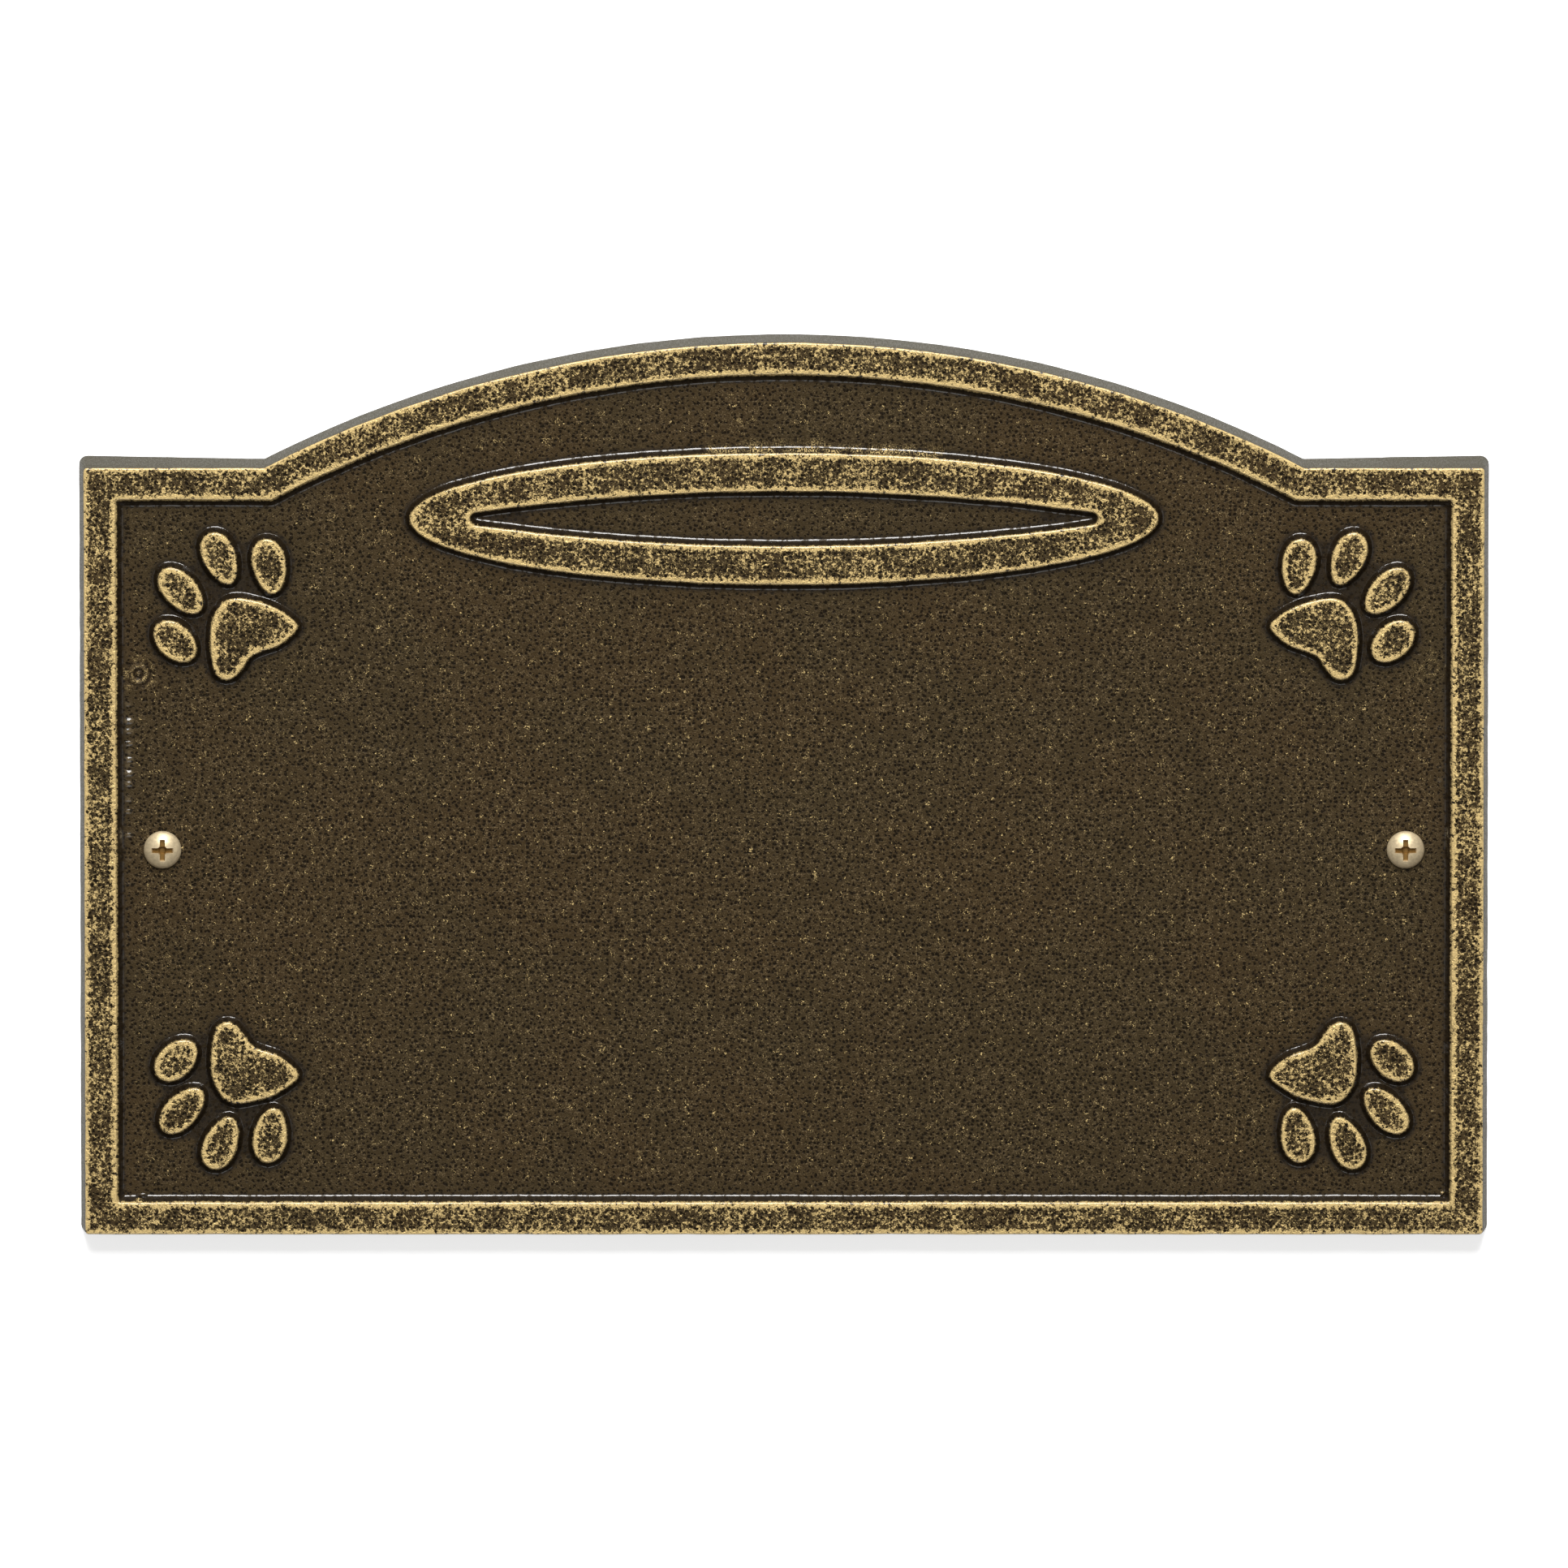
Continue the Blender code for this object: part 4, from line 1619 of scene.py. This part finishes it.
    def _weather(self) -> None:
        """Makes the casting slightly uneven, with its small faults, inside the solid's box."""
        noise.seed_set(self.mould_seed)
        low, high = self.plan.low, self.plan.high
        layers = self.work.layers
        fleck, reach, marked = layers[Layer.FLECK], layers[Layer.REACH], layers[Layer.MARK]
        marks = self.marks()
        lowest, highest = (self.plan.field_level + step for step in self.marked_levels)
        for vert in self.work.mesh.verts:
            here = vert.co.copy()
            if here.z < self.back_round:
                continue
            shift = noise.noise_vector(here / self.wave_size) * self.wave_height
            shift += noise.noise_vector(here / self.ripple_size) * self.ripple_height
            if lowest < here.z < highest:
                rises = [mark.rise(here.x, here.y) for mark in marks]
                gilt = sum(rise * mark.gilt for rise, mark in zip(rises, marks))
                shift.z += sum(rises)
                vert[marked] = clamped(sum(rises) / self.full_mark, -1.0)
                vert[fleck] = max(vert[fleck], clamped(gilt / self.full_gilt))
            if self._is_flecked(here, vert[reach]):
                ragged = noise.noise(here / self.fleck_size)
                vert[fleck] = clamped(self.fleck_share + self.fleck_contrast * ragged)
            moved = here + shift
            vert.co = Vector(clamped(moved[i], low[i], high[i]) for i in range(3))


@dataclass
class Screw:
    """A domed screw with a cross recess and a thread."""

    side: Side
    plan: MarkerPlan
    node: str
    head_width: float = 10.5 * MM
    head_gap: float = 0.02 * MM
    rim_height: float = 0.75 * MM
    rim_round: float = 0.18 * MM
    dome_steps: int = 12
    dome_share: float = 0.80
    turn_steps: int = 72

    # The shank: where its rows start under the head and end over its tip, and its thread
    shank_width: float = 4.8 * MM
    rows_start: float = 0.6 * MM
    rows_end: float = 0.4 * MM
    tip_bevel: float = 0.4 * MM
    thread_pitch: float = 1.6 * MM
    thread_depth: float = 0.35 * MM
    thread_rows: int = 8
    thread_start: float = 0.5 * MM
    thread_end: float = 0.3 * MM
    thread_core: float = 0.4
    merging: float = 0.002 * MM

    # The recess: the cross's two bars, with their shares of length and width at the foot, and the
    # pocket in their middle, with its radii as shares of its width
    recess_span: float = 8.4 * MM
    recess_wing: float = 1.72 * MM
    wing_depth: float = 1.35 * MM
    wing_foot: tuple[float, float] = (0.62, 0.72)
    hub_width: float = 3.1 * MM
    hub_depth: float = 2.2 * MM
    hub_radii: tuple[float, float] = (0.28, 0.62)
    hub_sides: int = 8
    cut_past: float = 1.0 * MM
    # How far out and how deep the recess's painted shade reaches, where it starts and its slack
    recess_shade_reach: float = 0.9
    recess_shade_depth: float = 0.3 * MM
    recess_shade_start: float = 0.1
    recess_shade_slack: float = 0.01 * MM
    sharp_angle: float = 32.0

    def build(self, finish: bpy.types.Material) -> bpy.types.Object:
        """Builds the screw and dresses it.

        Args:
            finish: its material.

        Returns:
            The finished piece.
        """
        low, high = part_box(self.node)
        self.top, self.end = high.z, low.z
        self.centre = Vector(((low.x + high.x) / 2, (low.y + high.y) / 2, 0.0))
        blank = finished_object(f"fixing_screw_{self.side.name.lower()}", self._blank(), finish)
        cutters = [self._wing(0.0), self._wing(90.0), self._hub()]
        for cutter in cutters:
            cut = blank.modifiers.new(cutter.name, "BOOLEAN")
            cut.operation = "DIFFERENCE"
            cut.solver = "EXACT"
            cut.object = cutter
        cut_mesh = bpy.data.meshes.new_from_object(
            blank.evaluated_get(bpy.context.evaluated_depsgraph_get())
        )
        blank.modifiers.clear()
        blank.data = cut_mesh
        for cutter in cutters:
            bpy.data.objects.remove(cutter, do_unlink=True)
        self._finish_mesh(blank.data)
        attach(blank, BODY)
        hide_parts(self.node)
        return blank

    def _profile(self) -> Outline:
        """One side of the screw, from the top of its dome to its end, as radius and height."""
        foot = self.plan.field_level + self.head_gap
        rim = foot + self.rim_height
        half, bevel = self.head_width / 2, self.rim_round
        whole = 1 - math.sqrt(1 - self.dome_share**2)
        dome = []
        for i in range(self.dome_steps + 1):
            radius = (half - bevel) * i / self.dome_steps
            drop = 1 - math.sqrt(1 - (self.dome_share * radius / half) ** 2)
            dome.append((radius, self.top - (self.top - rim) * drop / whole))
        edge = [(half, rim - bevel), (half, foot + bevel), (half - bevel, foot)]
        neck = self.shank_width / 2
        start, end = foot - self.rows_start, self.end + self.rows_end
        rows = round((start - end) / (self.thread_pitch / self.thread_rows))
        shank = [(neck, start + (end - start) * i / rows) for i in range(rows + 1)]
        tip = [(neck - self.tip_bevel, self.end), (0.0, self.end)]
        return [*dome, *edge, (neck, foot), *shank, *tip]

    def _blank(self) -> bmesh.types.BMesh:
        """The screw before its recess is pressed: its profile spun round, with a thread.

        Returns:
            The mesh, in its place.
        """
        made = bmesh.new()
        chain = [made.verts.new((radius, 0.0, height)) for radius, height in self._profile()]
        edges = [made.edges.new(pair) for pair in zip(chain, chain[1:])]
        bmesh.ops.spin(
            made,
            geom=[*chain, *edges],
            cent=(0, 0, 0),
            axis=(0, 0, 1),
            angle=2 * math.pi,
            steps=self.turn_steps,
            use_merge=True,
            use_duplicate=False,
        )
        bmesh.ops.remove_doubles(made, verts=made.verts[:], dist=self.merging)
        highest = self.plan.field_level - self.thread_start
        lowest = self.end + self.thread_end
        for vert in made.verts:
            x, y, z = vert.co
            radius = math.hypot(x, y)
            if z > highest or z < lowest or radius < self.thread_core * self.shank_width:
                continue
            turn = (z / self.thread_pitch - math.atan2(y, x) / (2 * math.pi)) % 1.0
            cut = self.thread_depth * (1 - abs(2 * turn - 1)) / radius
            vert.co = (x * (1 - cut), y * (1 - cut), z)
        bmesh.ops.translate(made, verts=made.verts[:], vec=self.centre)
        return made

    def _cutter(self, name: str, made: bmesh.types.BMesh, turn: float) -> bpy.types.Object:
        """An object that cuts the recess.

        Args:
            name: its name.
            made: its mesh about the origin.
            turn: how far it is turned about the screw's axis, in degrees.

        Returns:
            The cutter in its place.
        """
        matrix = Matrix.Rotation(math.radians(turn), 3, "Z")
        bmesh.ops.rotate(made, verts=made.verts[:], cent=(0, 0, 0), matrix=matrix)
        bmesh.ops.translate(made, verts=made.verts[:], vec=self.centre)
        bmesh.ops.recalc_face_normals(made, faces=made.faces[:])
        data = bpy.data.meshes.new(name)
        made.to_mesh(data)
        made.free()
        cutter = bpy.data.objects.new(name, data)
        cutter.hide_render = True
        bpy.context.scene.collection.objects.link(cutter)
        return cutter

    def _wing(self, turn: float) -> bpy.types.Object:
        """A bar of the cross, narrower and shorter at its foot."""
        made = bmesh.new()
        bmesh.ops.create_cube(made, size=1.0)
        foot = self.top - self.wing_depth
        for vert in made.verts:
            x, y, z = vert.co
            long, wide = self.wing_foot if z < 0 else (1.0, 1.0)
            height = foot if z < 0 else self.top + self.cut_past
            vert.co = (x * self.recess_span * long, y * self.recess_wing * wide, height)
        return self._cutter("wing", made, turn)

    def _hub(self) -> bpy.types.Object:
        """The eight-sided pocket in the middle of the cross."""
        made = bmesh.new()
        foot, rim = (share * self.hub_width for share in self.hub_radii)
        depth = self.hub_depth + self.cut_past
        bmesh.ops.create_cone(
            made, cap_ends=True, segments=self.hub_sides, radius1=foot, radius2=rim, depth=depth
        )
        middle = self.top - self.hub_depth + depth / 2
        bmesh.ops.translate(made, verts=made.verts[:], vec=(0.0, 0.0, middle))
        return self._cutter("hub", made, 180 / self.hub_sides)

    def _finish_mesh(self, data: bpy.types.Mesh) -> None:
        """Marks depth inside the recess for its painted shade, and keeps its edges crisp.

        Args:
            data: the screw's mesh.
        """
        layer = data.attributes.new(Layer.FLECK.value, "FLOAT", "POINT")
        level = self.plan.field_level
        profile = [point for point in self._profile() if point[1] > level]
        reach = self.recess_shade_reach * self.recess_span / 2
        for i, vert in enumerate(data.vertices):
            radius = (vert.co - self.centre).xy.length
            if radius > reach or vert.co.z < level:
                continue
            nearest = radius - self.recess_shade_slack
            above = next(height for side, height in profile if side >= nearest)
            layer.data[i].value = clamped((above - vert.co.z) / self.recess_shade_depth - self.recess_shade_start)
        data.shade_smooth()
        data.set_sharp_from_angle(angle=math.radians(self.sharp_angle))


@dataclass(frozen=True)
class Softbox:
    """A large soft light that faces the marker.

    It stands so many degrees from +X towards +Y, so many degrees above the floor, and casts so many
    watts a square metre on a sheet that faces it.
    """

    name: str
    turn: float
    height: float
    strength: float
    distance: float = 3.0
    size: tuple[float, float] = (1.6, 1.95)

    def build(self) -> None:
        """Hangs the light."""
        around, up = math.radians(self.turn), math.radians(self.height)
        away = Vector((math.cos(around), math.sin(around), 0.0)) * math.cos(up)
        away.z = math.sin(up)
        lamp = bpy.data.lights.new(self.name, "AREA")
        lamp.shape = "RECTANGLE"
        lamp.size, lamp.size_y = self.size
        lamp.energy = self.strength * math.pi * self.distance**2
        made = bpy.data.objects.new(self.name, lamp)
        made.location = away * self.distance
        made.rotation_euler = away.to_track_quat("Z", "Y").to_euler()
        bpy.context.scene.collection.objects.link(made)


@dataclass(frozen=True)
class Studio:
    """The pale floor, the soft light and the camera."""

    floor_size: float = 24.0
    floor_drop: float = 0.05 * MM
    frame_width: float = 437.9 * MM
    distance: float = 9.0
    view_depth: float = 90.0
    lean: float = 7.0
    aim: tuple[float, float, float] = (0.0, 1.13 * MM, 10.0 * MM)
    sky: Colour = (1.0, 0.985, 0.965)
    sky_strength: float = 0.12
    softboxes: tuple[Softbox, ...] = (
        Softbox("key", 90.0, 44.0, 4.9),
        Softbox("fill", 270.0, 44.0, 0.45),
        Softbox("left_fill", 180.0, 40.0, 0.12),
        Softbox("right_fill", 0.0, 40.0, 0.16),
    )

    def build(self) -> None:
        """Sets the floor, the lights and the camera up."""
        self._floor()
        for softbox in self.softboxes:
            softbox.build()
        world = bpy.data.worlds.new("studio")
        world.use_nodes = True
        background = world.node_tree.nodes["Background"]
        background.inputs["Color"].default_value = (*self.sky, 1.0)
        background.inputs["Strength"].default_value = self.sky_strength
        bpy.context.scene.world = world
        bpy.context.scene.view_settings.view_transform = "Standard"
        self._camera()

    def _floor(self) -> None:
        """A flat white floor under the marker."""
        made = bmesh.new()
        bmesh.ops.create_grid(made, x_segments=1, y_segments=1, size=self.floor_size / 2)
        bmesh.ops.translate(made, verts=made.verts[:], vec=(0.0, 0.0, -self.floor_drop))
        finished_object("floor", made, FloorFinish().material())

    def _camera(self) -> None:
        """The camera, looking down from slightly beyond the arch."""
        data = bpy.data.cameras.new("camera")
        data.lens = data.sensor_width * self.distance / self.frame_width
        data.clip_end = self.view_depth
        made = bpy.data.objects.new("camera", data)
        lean = math.radians(self.lean)
        back = Vector((0.0, math.sin(lean), math.cos(lean))) * self.distance
        made.location = Vector(self.aim) + back
        made.rotation_euler = (-lean, 0.0, 0.0)
        bpy.context.scene.collection.objects.link(made)
        bpy.context.scene.camera = made


def main() -> None:
    """Builds the marker's pieces and the studio, and reports each."""
    logging.basicConfig(level=logging.INFO, format="%(name)s: %(message)s")
    low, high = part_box("marker_plate")
    plan = MarkerPlan(low, high)
    pieces = [Casting(plan).build(BronzedFinish())]
    brass = ScrewBrassFinish().material()
    pieces.append(Screw(Side.LEFT, plan, "screw_left").build(brass))
    pieces.append(Screw(Side.RIGHT, plan, "screw_right").build(brass))
    for piece in pieces:
        piece.data.calc_loop_triangles()
        log.info("%s: %d triangles", piece.name, len(piece.data.loop_triangles))
    Studio().build()
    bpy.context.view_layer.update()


if __name__ == "__main__":
    main()
